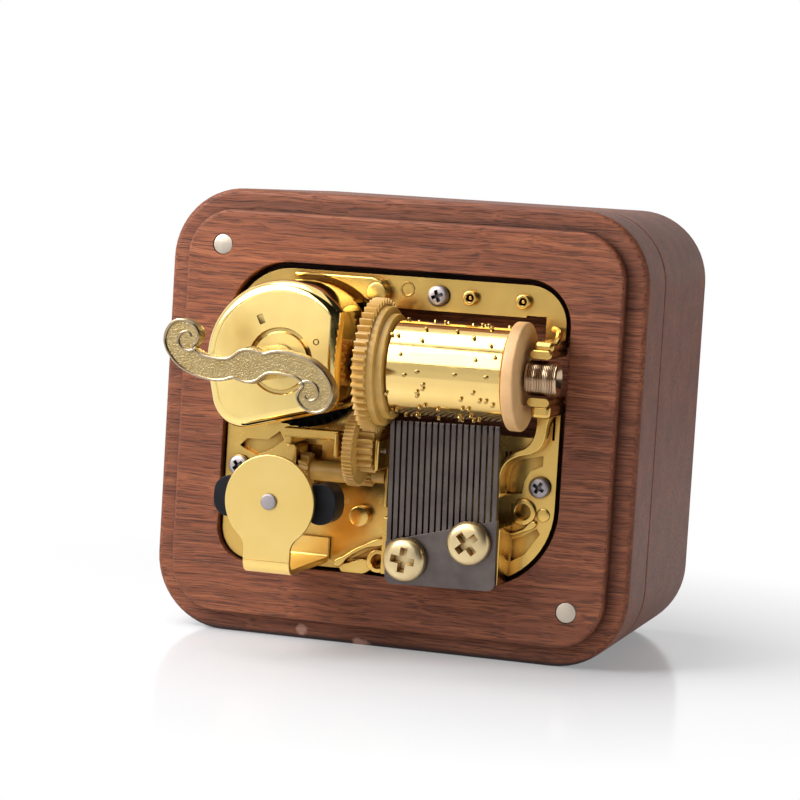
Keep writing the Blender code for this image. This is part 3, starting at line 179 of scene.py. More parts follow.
# Meshes
def as_mesh(bm, name="shape"):
    """Closes a bmesh into a clean mesh whose faces point outwards."""
    bmesh.ops.remove_doubles(bm, verts=bm.verts, dist=1e-4)
    bmesh.ops.recalc_face_normals(bm, faces=bm.faces)
    mesh = bpy.data.meshes.new(name)
    bm.to_mesh(mesh)
    bm.free()
    return mesh


def lofted(sections):
    """Skin through matching outlines at their heights, closed at both ends."""
    bm = bmesh.new()
    rings = [[bm.verts.new((x, y, height)) for x, y in points] for points, height in sections]
    for low, high in zip(rings, rings[1:]):
        for i in range(len(low)):
            j = (i + 1) % len(low)
            bm.faces.new((low[i], low[j], high[j], high[i]))
    bm.faces.new(rings[0])
    bm.faces.new(rings[-1])
    return as_mesh(bm)


def turned(profile, sides=64):
    """Closed outline of (radius, height) pairs spun about Z."""
    bm = bmesh.new()
    corners = [bm.verts.new((radius, 0, height)) for radius, height in profile]
    edges = [bm.edges.new(pair) for pair in zip(corners, corners[1:] + corners[:1])]
    bmesh.ops.spin(
        bm, geom=corners + edges, cent=(0, 0, 0), axis=(0, 0, 1),
        angle=2 * math.pi, steps=sides, use_merge=True)
    return as_mesh(bm)


def pin(radius, low, high, sides=32, edge=0.0):
    """Round bar, its two ends rounded over when an edge is given."""
    if edge:
        top = [(radius - inset, up) for inset, up in over(high, edge, 3)]
        foot = [(radius - inset, up) for inset, up in under(low, edge, 3)]
        return turned([(0, low)] + foot + top + [(0, high)], sides)
    return turned([(0, low), (radius, low), (radius, high), (0, high)], sides)


def block(low, high, edge=0.0):
    """Box between two corners, its edges rounded when an edge is given."""
    bm = bmesh.new()
    size = [b - a for a, b in zip(low, high)]
    centre = [(a + b) / 2 for a, b in zip(low, high)]
    bmesh.ops.create_cube(bm, size=1, matrix=Matrix.Translation(centre) @ Matrix.Diagonal((*size, 1)))
    if edge:
        bmesh.ops.bevel(bm, geom=bm.edges[:], offset=edge, segments=3, profile=0.5, affect="EDGES")
    return as_mesh(bm)


def from_curve(curve):
    """The mesh of a curve, which is then removed."""
    holder = bpy.data.objects.new("outline", curve)
    bpy.context.scene.collection.objects.link(holder)
    mesh = bpy.data.meshes.new_from_object(holder.evaluated_get(bpy.context.evaluated_depsgraph_get()))
    bpy.data.objects.remove(holder, do_unlink=True)
    bpy.data.curves.remove(curve)
    return mesh


def plate(loops, low, high, edge=0.0, flowing=False):
    """Flat plate between two heights, its rims rounded; loops after the first are windows."""
    curve = bpy.data.curves.new("plate", "CURVE")
    curve.dimensions = "2D"
    curve.fill_mode = "BOTH"
    curve.extrude = (high - low) / 2 - edge
    curve.bevel_depth = edge
    curve.bevel_resolution = 2
    curve.offset = -edge
    for points in loops:
        add_spline(curve, [(x, y, 0) for x, y in points], True, flowing)
    mesh = from_curve(curve)
    bm = bmesh.new()
    bm.from_mesh(mesh)
    bmesh.ops.remove_doubles(bm, verts=bm.verts, dist=1e-4)
    bmesh.ops.dissolve_limit(bm, angle_limit=0.001, verts=bm.verts, edges=bm.edges)
    bmesh.ops.translate(bm, vec=(0, 0, (low + high) / 2), verts=bm.verts)
    return as_mesh(bm)


def add_spline(curve, points, closed, flowing, radii=None):
    spline = curve.splines.new("BEZIER" if flowing else "POLY")
    knots = spline.bezier_points if flowing else spline.points
    knots.add(len(points) - 1)
    spline.resolution_u = 8
    for i, (knot, place) in enumerate(zip(knots, points)):
        knot.co = place if flowing else (*place, 1)
        knot.radius = radii[i] if radii else 1
        if flowing:
            knot.handle_left_type = knot.handle_right_type = "AUTO"
    spline.use_cyclic_u = closed


def bead(points, radius, closed=False, flowing=False, radii=None):
    """Round wire along points."""
    curve = bpy.data.curves.new("bead", "CURVE")
    curve.dimensions = "3D"
    curve.bevel_depth = radius
    curve.bevel_resolution = 3
    curve.use_fill_caps = not closed
    add_spline(curve, points, closed, flowing, radii)
    mesh = from_curve(curve)
    bm = bmesh.new()
    bm.from_mesh(mesh)
    return as_mesh(bm)


def moved(mesh, place):
    mesh.transform(place if isinstance(place, Matrix) else Matrix.Translation(place))
    return mesh


def joined(*meshes):
    """Several meshes as one."""
    bm = bmesh.new()
    for mesh in meshes:
        bm.from_mesh(mesh)
    for face in bm.faces:
        face.material_index = 0
    mesh = bpy.data.meshes.new("joined")
    bm.to_mesh(mesh)
    bm.free()
    return mesh


def evaluated(mesh, add_modifiers):
    """The plain mesh that modifiers make of a mesh."""
    holder = bpy.data.objects.new("holder", mesh)
    bpy.context.scene.collection.objects.link(holder)
    add_modifiers(holder)
    made = bpy.data.meshes.new_from_object(holder.evaluated_get(bpy.context.evaluated_depsgraph_get()))
    bpy.data.objects.remove(holder, do_unlink=True)
    return made


def carved(body, *cutters):
    """A body with the cutters taken away."""
    tools = []

    def add_modifiers(holder):
        for cutter in cutters:
            tool = bpy.data.objects.new("cutter", cutter)
            bpy.context.scene.collection.objects.link(tool)
            tools.append(tool)
            modifier = holder.modifiers.new("carve", "BOOLEAN")
            modifier.operation = "DIFFERENCE"
            modifier.solver = "EXACT"
            modifier.object = tool

    made = evaluated(body, add_modifiers)
    for tool in tools:
        bpy.data.objects.remove(tool, do_unlink=True)
    return made


def rim_rounded(mesh, height, width, steps=3):
    """Rounds every edge of a plate that lies at one height."""
    bm = bmesh.new()
    bm.from_mesh(mesh)
    bmesh.ops.remove_doubles(bm, verts=bm.verts, dist=1e-4)
    bmesh.ops.dissolve_limit(bm, angle_limit=0.001, verts=bm.verts, edges=bm.edges)
    rim = [
        edge for edge in bm.edges
        if all(abs(end.co.z - height) < 1e-3 for end in edge.verts)
        and any(abs(face.normal.z) < 0.5 for face in edge.link_faces)
    ]
    bmesh.ops.bevel(bm, geom=rim, offset=width, segments=steps, profile=0.5, affect="EDGES",
                    clamp_overlap=True)
    return as_mesh(bm)


# Node trees
def node(tree, kind, inputs=None, **settings):
    """A node with its settings; each input takes a value or another node's output."""
    made = tree.nodes.new(kind)
    for name, value in settings.items():
        setattr(made, name, value)
    for name, value in (inputs or {}).items():
        if isinstance(value, bpy.types.NodeSocket):
            tree.links.new(value, made.inputs[name])
        else:
            made.inputs[name].default_value = value
    return made


def new_tree(name, sizes):
    """A geometry tree, with its named inputs."""
    tree = bpy.data.node_groups.new(name, "GeometryNodeTree")
    tree.interface.new_socket("Geometry", in_out="INPUT", socket_type="NodeSocketGeometry")
    for label, kind in {**sizes, "Finish": "Material"}.items():
        tree.interface.new_socket(label, in_out="INPUT", socket_type="NodeSocket" + kind)
    tree.interface.new_socket("Geometry", in_out="OUTPUT", socket_type="NodeSocketGeometry")
    return tree, tree.nodes.new("NodeGroupInput").outputs


def close_tree(tree, given, geometry):
    real = node(tree, "GeometryNodeRealizeInstances", {"Geometry": geometry})
    coated = node(tree, "GeometryNodeSetMaterial", {"Geometry": real.outputs[0], "Material": given["Finish"]})
    node(tree, "NodeGroupOutput", {"Geometry": coated.outputs[0]})
    return tree


def math_node(tree, operation, *values):
    return node(tree, "ShaderNodeMath", dict(enumerate(values)), operation=operation).outputs[0]


def teeth_round_wheel():
    """Repeats one tooth round its wheel."""
    tree, given = new_tree("teeth_round_wheel", {"Teeth": "Int"})
    points = node(tree, "GeometryNodePoints", {"Count": given["Teeth"]})
    index = node(tree, "GeometryNodeInputIndex").outputs[0]
    share = math_node(tree, "DIVIDE", index, given["Teeth"])
    angle = math_node(tree, "MULTIPLY", share, 2 * math.pi)
    turn = node(tree, "ShaderNodeCombineXYZ", {"Z": angle})
    rotation = node(tree, "FunctionNodeEulerToRotation", {0: turn.outputs[0]})
    teeth = node(tree, "GeometryNodeInstanceOnPoints", {
        "Points": points.outputs[0], "Instance": given["Geometry"], "Rotation": rotation.outputs[0]})
    return close_tree(tree, given, teeth.outputs[0])


def teeth_of_comb():
    """Repeats one tooth, a millimetre long, along the comb, each cut to its own length."""
    tree, given = new_tree("teeth_of_comb", {
        "Teeth": "Int", "Pitch": "Float", "Longest": "Float", "Shortest": "Float"})
    points = node(tree, "GeometryNodePoints", {"Count": given["Teeth"]})
    index = node(tree, "GeometryNodeInputIndex").outputs[0]
    middle = math_node(tree, "ADD", index, 0.5)
    share = math_node(tree, "DIVIDE", middle, given["Teeth"])
    across = math_node(tree, "MULTIPLY", math_node(tree, "SUBTRACT", share, 0.5),
                       math_node(tree, "MULTIPLY", given["Pitch"], given["Teeth"]))
    lost = math_node(tree, "SUBTRACT", given["Longest"], given["Shortest"])
    length = math_node(tree, "SUBTRACT", given["Longest"], math_node(tree, "MULTIPLY", lost, share))
    place = node(tree, "ShaderNodeCombineXYZ", {"X": across})
    size = node(tree, "ShaderNodeCombineXYZ", {"X": 1.0, "Y": length, "Z": 1.0})
    row = node(tree, "GeometryNodeSetPosition", {
        "Geometry": points.outputs[0], "Position": place.outputs[0]})
    teeth = node(tree, "GeometryNodeInstanceOnPoints", {
        "Points": row.outputs[0], "Instance": given["Geometry"], "Scale": size.outputs[0]})
    return close_tree(tree, given, teeth.outputs[0])


def pins_on_drum():
    """Scatters pins over the drum, each on the track of one comb tooth."""
    tree, given = new_tree("pins_on_drum", {
        "Pins": "Int", "Tracks": "Int", "Track Pitch": "Float", "Beats": "Int",
        "Drum Radius": "Float", "Seed": "Int"})
    points = node(tree, "GeometryNodePoints", {"Count": given["Pins"]})
    last_track = math_node(tree, "SUBTRACT", given["Tracks"], 1)
    track = node(tree, "FunctionNodeRandomValue", {"Min": 0.0, "Seed": given["Seed"]}, data_type="FLOAT")
    tree.links.new(last_track, track.inputs["Max"])
    beat = node(tree, "FunctionNodeRandomValue", {
        "Min": 0.0, "Seed": math_node(tree, "ADD", given["Seed"], 1)}, data_type="FLOAT")
    tree.links.new(given["Beats"], beat.inputs["Max"])
    step = math_node(tree, "DIVIDE", 2 * math.pi, given["Beats"])
    angle = math_node(tree, "MULTIPLY", math_node(tree, "ROUND", beat.outputs[1]), step)
    offset = math_node(tree, "SUBTRACT", math_node(tree, "ROUND", track.outputs[1]),
                       math_node(tree, "DIVIDE", last_track, 2))
    across = math_node(tree, "MULTIPLY", offset, given["Track Pitch"])
    aim = node(tree, "ShaderNodeCombineXYZ", {
        "X": math_node(tree, "COSINE", angle), "Y": math_node(tree, "SINE", angle)})
    reach = node(tree, "ShaderNodeVectorMath", {0: aim.outputs[0], "Scale": given["Drum Radius"]},
                 operation="SCALE")
    height = node(tree, "ShaderNodeCombineXYZ", {"Z": across})
    place = node(tree, "ShaderNodeVectorMath", {0: reach.outputs[0], 1: height.outputs[0]}, operation="ADD")
    row = node(tree, "GeometryNodeSetPosition", {
        "Geometry": points.outputs[0], "Position": place.outputs[0]})
    rotation = node(tree, "FunctionNodeAlignRotationToVector", {"Vector": aim.outputs[0]}, axis="Z")
    pins = node(tree, "GeometryNodeInstanceOnPoints", {
        "Points": row.outputs[0], "Instance": given["Geometry"], "Rotation": rotation.outputs[0]})
    return close_tree(tree, given, pins.outputs[0])


def thread_round_rod():
    """Winds a thread of round section round a rod."""
    tree, given = new_tree("thread_round_rod", {
        "Turns": "Float", "Radius": "Float", "Length": "Float", "Bead": "Float"})
    line = node(tree, "GeometryNodeCurveSpiral", {
        "Resolution": 40, "Rotations": given["Turns"], "Start Radius": given["Radius"],
        "End Radius": given["Radius"], "Height": given["Length"]})
    section = node(tree, "GeometryNodeCurvePrimitiveCircle", {"Resolution": 8, "Radius": given["Bead"]})
    wire = node(tree, "GeometryNodeCurveToMesh", {
        "Curve": line.outputs[0], "Profile Curve": section.outputs[0], "Fill Caps": True})
    return close_tree(tree, given, wire.outputs[0])


TEETH_ROUND_WHEEL = teeth_round_wheel()
TEETH_OF_COMB = teeth_of_comb()
PINS_ON_DRUM = pins_on_drum()
THREAD_ROUND_ROD = thread_round_rod()


def grown(seed, tree, sizes):
    """The plain mesh that a tree makes from a seed shape."""
    def add_modifiers(holder):
        modifier = holder.modifiers.new("grow", "NODES")
        modifier.node_group = tree
        for item in tree.interface.items_tree:
            if item.in_out == "INPUT" and item.name in sizes:
                modifier[item.identifier] = sizes[item.name]

    return evaluated(seed, add_modifiers)


# Finishes
def finish(name, roughness, metallic=0.0, **sockets):
    """A Principled material, its tree, its shader and the piece's own coordinates."""
    made = bpy.data.materials.new(name)
    made.use_nodes = True
    tree = made.node_tree
    shader = tree.nodes["Principled BSDF"]
    shader.inputs["Roughness"].default_value = roughness
    shader.inputs["Metallic"].default_value = metallic
    for label, value in sockets.items():
        shader.inputs[label.replace("_", " ")].default_value = value
    return made, tree, shader, node(tree, "ShaderNodeTexCoord").outputs["Object"]


def noise(tree, place, scale, detail=3.0, rough=0.5, stretch=None):
    if stretch:
        place = node(tree, "ShaderNodeMapping", {"Vector": place, "Scale": stretch}).outputs[0]
    return node(tree, "ShaderNodeTexNoise", {
        "Vector": place, "Scale": scale, "Detail": detail, "Roughness": rough}).outputs["Fac"]


def graded(tree, value, low, high, from_low=0.3, from_high=0.7):
    """Rescales a pattern to run between two numbers."""
    return node(tree, "ShaderNodeMapRange", {
        "Value": value, "From Min": from_low, "From Max": from_high, "To Min": low, "To Max": high,
    }).outputs[0]


def shades(tree, value, *stops):
    """Colours along a pattern, each stop a place and a colour."""
    made = node(tree, "ShaderNodeValToRGB", {"Fac": value})
    stop_list = made.color_ramp.elements
    while len(stop_list) < len(stops):
        stop_list.new(0.5)
    for stop, (place, colour) in zip(stop_list, stops):
        stop.position = place
        stop.color = (*colour, 1)
    return made.outputs["Color"]


def blended(tree, share, first, second, how="MIX"):
    made = node(tree, "ShaderNodeMix", data_type="RGBA", blend_type=how)
    for socket, value in ((made.inputs["Factor"], share), (made.inputs[6], first), (made.inputs[7], second)):
        if isinstance(value, bpy.types.NodeSocket):
            tree.links.new(value, socket)
        else:
            socket.default_value = (*value, 1) if isinstance(value, tuple) else value
    return made.outputs[2]


def relief(tree, shader, *layers):
    """Bumps under the shader; each layer is a pattern and its depth in millimetres."""
    under_it = None
    for pattern, depth in layers:
        inputs = {"Height": pattern, "Distance": depth * MM, "Strength": 1.0}
        if under_it:
            inputs["Normal"] = under_it
        under_it = node(tree, "ShaderNodeBump", inputs).outputs[0]
    tree.links.new(under_it, shader.inputs["Normal"])


def worn_chip(tree, place, wood, x, up, size):
    """Pale bare patch on the front edge of the box, in millimetres on the face."""
    spot = (x * MM, (FACE_Y - RIM) * MM, up * MM)
    away = node(tree, "ShaderNodeVectorMath", {0: place, 1: spot}, operation="DISTANCE").outputs["Value"]
    ragged = math_node(tree, "MULTIPLY_ADD", noise(tree, place, 420.0, 4.0), 2.4 * MM, away)
    return blended(tree, graded(tree, ragged, 0.85, 0.0, (size + 0.9) * MM, (size + 1.35) * MM), wood,
                   (0.43, 0.23, 0.17))


def painted_hollow_shade(tree, colour, dark, reach, shut=0.25, clear=0.8):
    """Darkens a colour in corners and recesses as painted shade, deepest where they are most shut in."""
    open_share = node(tree, "ShaderNodeAmbientOcclusion", {"Distance": reach * MM}, samples=6).outputs["AO"]
    return blended(tree, graded(tree, open_share, 0.0, 1.0, shut, clear), dark, colour)


def oiled_walnut():
    """Wood with fibres and pores along X, darker bands, two worn chips and painted shade in its hollows."""
    made, tree, shader, place = finish("oiled_walnut", 0.5, Specular_IOR_Level=0.3)
    sway = node(tree, "ShaderNodeTexNoise", {"Vector": place, "Scale": 70.0, "Detail": 3.0})
    warped = node(tree, "ShaderNodeVectorMath", {
        0: sway.outputs["Color"], 1: (0.0, 0.0014, 0.0014), 2: place}, operation="MULTIPLY_ADD").outputs[0]
    fibre = noise(tree, warped, 1.0, 8.0, 0.74, (34, 1300, 1300))
    bands = noise(tree, warped, 1.0, 3.0, 0.5, (14, 260, 260))
    pores = noise(tree, warped, 1.0, 2.0, 0.5, (150, 5600, 5600))
    hairs = noise(tree, warped, 1.0, 1.0, 0.5, (135, 8200, 8200))
    wood = shades(
        tree, fibre, (0.30, (0.110, 0.028, 0.011)), (0.44, (0.216, 0.059, 0.023)),
        (0.56, (0.330, 0.101, 0.040)), (0.72, (0.475, 0.175, 0.074)))
    wood = blended(tree, graded(tree, bands, 0.0, 0.65), wood, (0.142, 0.038, 0.016))
    wood = blended(tree, graded(tree, hairs, 0.0, 0.58, 0.52, 0.66), wood, (0.085, 0.024, 0.012))
    wood = blended(tree, graded(tree, pores, 0.0, 0.75, 0.55, 0.66), wood, (0.050, 0.015, 0.008))
    # Painted shade: near black in the pocket, at the platform step and along the bottom edges.
    wood = painted_hollow_shade(tree, wood, (0.010, 0.003, 0.002), 3.0)
    for chip in CHIPS:
        wood = worn_chip(tree, place, wood, *chip)
    tree.links.new(wood, shader.inputs["Base Color"])
    tree.links.new(graded(tree, fibre, 0.42, 0.6), shader.inputs["Roughness"])
    relief(tree, shader, (fibre, 0.05), (graded(tree, pores, 1.0, 0.0, 0.54, 0.63), 0.05))
    return made


def gilt(name, colour, roughness, wave, grain, dull=0.12, recess=0.0, satin_above=None):
    """Gold plate: slow waves of the stamping, a fine grain and duller patches, with painted shade in its
    hollows when a recess reach is given.
    """
    made, tree, shader, place = finish(name, roughness, 1.0)
    patches = noise(tree, place, 180.0, 3.0)
    warm = tuple(part * factor for part, factor in zip(colour, (0.94, 0.88, 0.76)))
    tint = blended(tree, graded(tree, patches, 0.0, 0.6), colour, warm)
    # Painted shade: the colour darkens to a brown in hollows within the recess reach.
    if recess:
        shade = tuple(part * factor for part, factor in zip(colour, (0.3, 0.17, 0.08)))
        tint = painted_hollow_shade(tree, tint, shade, recess)
    tree.links.new(tint, shader.inputs["Base Color"])
    fine = noise(tree, place, 2600.0, 2.0)
    sheen = graded(tree, noise(tree, place, 420.0, 4.0), roughness, roughness + dull)
    if satin_above is not None:
        depth = node(tree, "ShaderNodeSeparateXYZ", {0: place}).outputs["Y"]
        front = (FACE_Y - satin_above) * MM
        satin = node(tree, "ShaderNodeMapRange", {
            "Value": depth, "From Min": front, "From Max": front - 0.02 * MM, "To Min": 0.0, "To Max": 0.26})
        sheen = math_node(tree, "ADD", sheen, satin.outputs[0])
    tree.links.new(sheen, shader.inputs["Roughness"])
    relief(tree, shader, (noise(tree, place, 70.0, 1.0), wave), (fine, grain))
    return made


def brushed_gilt():
    """Gold plate with fine brush marks, for the bent strip."""
    made, tree, shader, place = finish("brushed_gilt", 0.3, 1.0)
    streaks = noise(tree, place, 1.0, 3.0, 0.6, (9000, 9000, 500))
    patches = noise(tree, place, 150.0, 2.0)
    tint = blended(tree, graded(tree, patches, 0.0, 1.0), (0.88, 0.64, 0.23), (0.84, 0.59, 0.19))
    tree.links.new(tint, shader.inputs["Base Color"])
    tree.links.new(graded(tree, streaks, 0.30, 0.36), shader.inputs["Roughness"])
    relief(tree, shader, (streaks, 0.0008))
    return made


def grained_gilt():
    """Cast face of the key, pebbled all over."""
    made, tree, shader, place = finish("grained_gilt", 0.3, 1.0)
    pebbles = node(tree, "ShaderNodeTexVoronoi", {"Vector": place, "Scale": 4200.0}).outputs["Distance"]
    blotches = noise(tree, place, 900.0, 3.0)
    tint = blended(tree, graded(tree, blotches, 0.0, 1.0), (0.50, 0.38, 0.19), (0.33, 0.235, 0.10))
    tree.links.new(tint, shader.inputs["Base Color"])
    tree.links.new(graded(tree, blotches, 0.26, 0.44), shader.inputs["Roughness"])
    relief(tree, shader, (pebbles, 0.045), (blotches, 0.03))
    return made


def nylon(name, light, dark, roughness=0.42, shine=0.5):
    """Moulded plastic with soft flow marks."""
    made, tree, shader, place = finish(
        name, roughness, Subsurface_Weight=0.12, Subsurface_Scale=0.0012, Specular_IOR_Level=shine)
    flow = noise(tree, place, 260.0, 4.0, 0.6)
    specks = noise(tree, place, 2400.0, 2.0)
    tree.links.new(shades(tree, flow, (0.3, dark), (0.65, light)), shader.inputs["Base Color"])
    tree.links.new(graded(tree, flow, roughness - 0.08, roughness + 0.1), shader.inputs["Roughness"])
    relief(tree, shader, (flow, 0.03), (specks, 0.006))
    return made


def ground_steel(name, light, dark, roughness, streak, depth=0.004, recess=0.0):
    """Metal with fine grinding marks along one way, with painted shade in its hollows when a recess reach is
    given.
    """
    made, tree, shader, place = finish(name, roughness, 1.0)
    marks = noise(tree, place, 1.0, 4.0, 0.6, streak)
    bloom = noise(tree, place, 320.0, 3.0)
    tint = blended(tree, graded(tree, bloom, 0.0, 1.0), light, dark)
    # Painted shade in the hollows, such as a screw's cross.
    if recess:
        tint = painted_hollow_shade(tree, tint, tuple(part * 0.12 for part in dark), recess)
    tree.links.new(tint, shader.inputs["Base Color"])
    tree.links.new(graded(tree, marks, roughness, roughness + 0.14), shader.inputs["Roughness"])
    relief(tree, shader, (marks, depth))
    return made


WALNUT = oiled_walnut()
# A recess value is the reach, in millimetres, of the painted shade in a finish's hollows.
POLISHED_GILT = gilt(
    "polished_gilt", (1.0, 0.77, 0.30), 0.05, 0.03, 0.0006, 0.05, recess=0.9, satin_above=13.975)
DRUM_GILT = gilt("drum_gilt", (0.92, 0.66, 0.25), 0.06, 0.015, 0.0004)
CAST_GILT = gilt("cast_gilt", (0.73, 0.48, 0.14), 0.16, 0.06, 0.003, recess=1.8)
BRUSHED_GILT = brushed_gilt()
KEY_RIM_GILT = gilt("key_rim_gilt", (0.50, 0.40, 0.27), 0.16, 0.03, 0.002, recess=0.5)
# Copy of the key's gilt for the stem, its wide recess reach paints the shade under the key face.
KEY_STEM_SHADED_GILT = gilt("key_stem_shaded_gilt", (0.56, 0.43, 0.22), 0.2, 0.02, 0.0015, recess=5.0)
KEY_FACE_GILT = grained_gilt()
SCREW_GILT = gilt("screw_gilt", (0.70, 0.56, 0.32), 0.28, 0.02, 0.0015, recess=0.9)
BUSH_GILT = gilt("bush_gilt", (0.60, 0.44, 0.30), 0.18, 0.02, 0.0015, recess=0.3)
TAN_NYLON = nylon("tan_nylon", (0.68, 0.41, 0.10), (0.52, 0.30, 0.066))
BEIGE_NYLON = nylon("beige_nylon", (0.74, 0.44, 0.19), (0.60, 0.345, 0.14))
BLACK_NYLON = nylon("black_nylon", (0.010, 0.010, 0.014), (0.005, 0.005, 0.007), 0.45, 0.16)
WHEEL_BLACK = nylon("wheel_black", (0.004, 0.003, 0.003), (0.002, 0.001, 0.001), 0.6, 0.1)
PIN_GILT = gilt("pin_gilt", (0.50, 0.34, 0.13), 0.14, 0.01, 0.0004)
COMB_STEEL = ground_steel(
    "comb_steel", (0.155, 0.130, 0.118), (0.105, 0.086, 0.083), 0.3, (5200, 300, 5200))
NICKEL = ground_steel(
    "nickel", (0.54, 0.465, 0.38), (0.44, 0.38, 0.32), 0.34, (1800, 1800, 1800), 0.002)
RIVET_STEEL = ground_steel(
    "rivet_steel", (0.36, 0.32, 0.32), (0.27, 0.24, 0.245), 0.5, (1500, 1500, 1500), 0.003)
SCREW_STEEL = ground_steel(
    "screw_steel", (0.44, 0.39, 0.39), (0.32, 0.28, 0.28), 0.4, (2200, 2200, 900), 0.003, 1.0)


def piece(name, mesh, coat, body, slot, *nodes, angle=35):
    """Lays a finished shape into the model, coats it and lets it ride its body."""
    def add_modifiers(holder):
        holder.modifiers.new("weigh", "WEIGHTED_NORMAL").keep_sharp = True

    mesh.transform(TO_MODEL)
    mesh.shade_smooth()
    mesh.set_sharp_from_angle(angle=math.radians(angle))
    mesh = evaluated(mesh, add_modifiers)
    mesh.materials.clear()
    mesh.materials.append(coat)
    item = bpy.data.objects.new(name, mesh)
    bpy.context.scene.collection.objects.link(item)
    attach(item, body)
    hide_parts(*nodes)
    return item


# Wood
def dress_front_block():
    sections = [(box_loop(inset), up) for inset, up in under(SEAM, SEAM_EDGE, 3) + over(RIM, OUTER_EDGE, 6)]
    sections += [(platform_loop(0), RIM)]
    sections += [(platform_loop(inset), up) for inset, up in over(0, 0.5, 5)]
    sections += [(pocket_loop(0.2), 0), (pocket_loop(0.06), -0.06), (pocket_loop(0), -0.2)]
    sections += [(pocket_loop(0), -5.5)]
    holes = [moved(pin(MAGNET_HOLE, -2.9, 1, 64), (*place, 0)) for place in MAGNETS.values()]
    piece("walnut_front_block", carved(lofted(sections), *holes), WALNUT, "box", "walnut", "front_block")


def dress_rear_box():
    sections = [
        (box_loop(inset), up)
        for inset, up in under(REAR_BACK, OUTER_EDGE, 6) + over(REAR_FRONT, SEAM_EDGE, 3)]
    sections += [(box_loop(1.6), REAR_FRONT), (box_loop(1.6), SEAM - 0.02)]
    piece("walnut_rear_box", lofted(sections), WALNUT, "box", "walnut", "rear_box")


def dress_magnets():
    for side, place in MAGNETS.items():
        slug = moved(pin(MAGNET_RADIUS, -2.6, -0.1, 48, 0.12), (*place, 0))
        piece("magnet_" + side, slug, NICKEL, "box", "bright_steel", "cover_magnet_" + side)


# Base casting
BOSSES = (
    (10.5, 52.05, 1.05, 0.1, 0.55),
    (18.32, 52.05, 1.05, 0.1, 0.55),
    (23.0, 21.8, 1.0, -1.05, 0),
    (-3.1, 51.9, 1.5, 1.3, 0),
    (-4.0, 19.3, 1.5, 0.6, 0),
    (-0.85, 12.95, 1.7, 0.3, 1.05),
    (20.05, 22.03, 1.9, -0.7, 1.15),
)
RIBS = (
    (2.0, (
        (23.5, 38.0), (23.45, 34.5), (23.2, 32.7), (22.6, 31.5), (21.4, 30.7), (19.4, 30.1), (18.1, 29.3),
        (17.3, 27.9), (17.1, 26.0), (17.1, 24.0), (16.6, 24.0), (16.6, 26.2), (16.8, 28.3), (17.6, 29.8),
        (19.0, 30.8), (20.6, 31.6), (21.5, 32.9), (21.9, 34.8), (22.1, 38.0))),
    (-0.6, (
        (16.1, 19.7), (17.9, 19.0), (20.0, 19.6), (21.9, 20.9), (22.2, 20.5), (20.2, 19.1), (17.9, 18.5),
        (15.9, 19.2))),
    (0.2, (
        (-7.6, 11.9), (-5.9, 13.4), (-3.1, 15.2), (-0.1, 16.2), (0.0, 15.7), (-2.8, 14.7), (-5.5, 13.0),
        (-6.9, 11.6))),
    (-0.4, ((-7.0, 11.5), (-5.6, 12.3), (-2.0, 12.6), (-2.0, 11.5))),
)
RELIEFS = (
    (1.2, ((-23.5, 27.9), (-22.5, 29.0), (-19.2, 29.1), (-17.4, 30.5), (-16.7, 29.2), (-18.5, 27.7),
           (-20.9, 26.6), (-22.2, 27.1))),
    (1.3, ((17.4, 24.4), (17.5, 26.8), (17.9, 28.3), (19.2, 29.5), (22.5, 30.3), (22.5, 28.8),
           (20.7, 27.9), (19.9, 26.4), (19.7, 24.6))),
    (1.6, ((16.9, 29.6), (16.9, 30.5), (17.2, 30.5), (17.2, 29.6))),
    (1.6, ((17.5, 29.9), (17.5, 30.6), (17.8, 30.6), (17.8, 29.9))),
    (1.3, ((18.5, 17.9), (20.1, 18.5), (22.2, 19.8), (22.7, 19.0), (20.6, 15.9), (18.6, 14.7))),
    (0.8, ((-5.3, 12.7), (-2.8, 14.2), (-0.9, 14.9), (-2.4, 13.2))),
)
BUSH_EARS = (
    (21.75, 24.95, 44.6, 45.9, 8.0),
    (22.1, 25.05, 45.6, 47.05, 7.6),
    (21.85, 25.0, 38.0, 39.2, 8.0),
    (22.3, 25.1, 36.3, 38.3, 7.6),
)
EAR_STRAP = (
    (24.6, 46.3, 5.6), (24.9, 47.2, 4.8), (24.6, 47.9, 3.0), (23.9, 48.2, 0.6), (22.9, 48.4, -1.3))


def base_plate():
    """Floor of the casting, with the windows, reliefs and bores cut through it."""
    outline = rounded_rectangle(-25.55, 24.6, 11.2, 54.45, (9.0, 5.5, 11.5, 4.5))
    body = plate([outline], BASE_BACK, BASE_TOP)
    low, high = BASE_BACK - 1, BASE_TOP + 1
    drum = [(-2.33, 32.7), (21.65, 32.7), (21.65, 36.9), (26.5, 36.9), (26.5, 46.9), (21.65, 46.9),
            (21.65, 50.1), (18.7, 50.1), (18.7, 49.8), (-2.33, 49.8)]
    cutters = [
        plate([drum], low, high), block((23.6, 32.6, low), (23.95, 37.0, high)),
        block((-13.35, 22.1, -2.4), (-10.75, 29.0, high)),
        moved(pin(1.75, low, high), (WIND_X, DRUM_UP, 0)),
    ]
    cutters += [plate([corners], BASE_TOP - depth, high) for depth, corners in RELIEFS]
    cutters += [moved(pin(1.1, low, high), (*place, 0)) for place in BASE_SCREWS.values()]
    cutters += [moved(pin(boss[4], -2.4, high), (*boss[:2], 0)) for boss in BOSSES if boss[4]]
    return rim_rounded(carved(body, *cutters), BASE_TOP, 0.14, 2)


def boss(x, up, radius, front, bore):
    """Round stud of the casting, with a bore or a plain top."""
    low, edge = BASE_TOP - 0.1, 0.16
    rim = [(radius - inset, high) for inset, high in over(front, edge, 3)]
    mouth = [(0, front), (0, low)]
    if bore:
        mouth = [(bore + edge / 2, front), (bore, front - edge / 2), (bore, low)]
    return moved(turned([(radius, low)] + rim + mouth, 40), (x, up, 0))


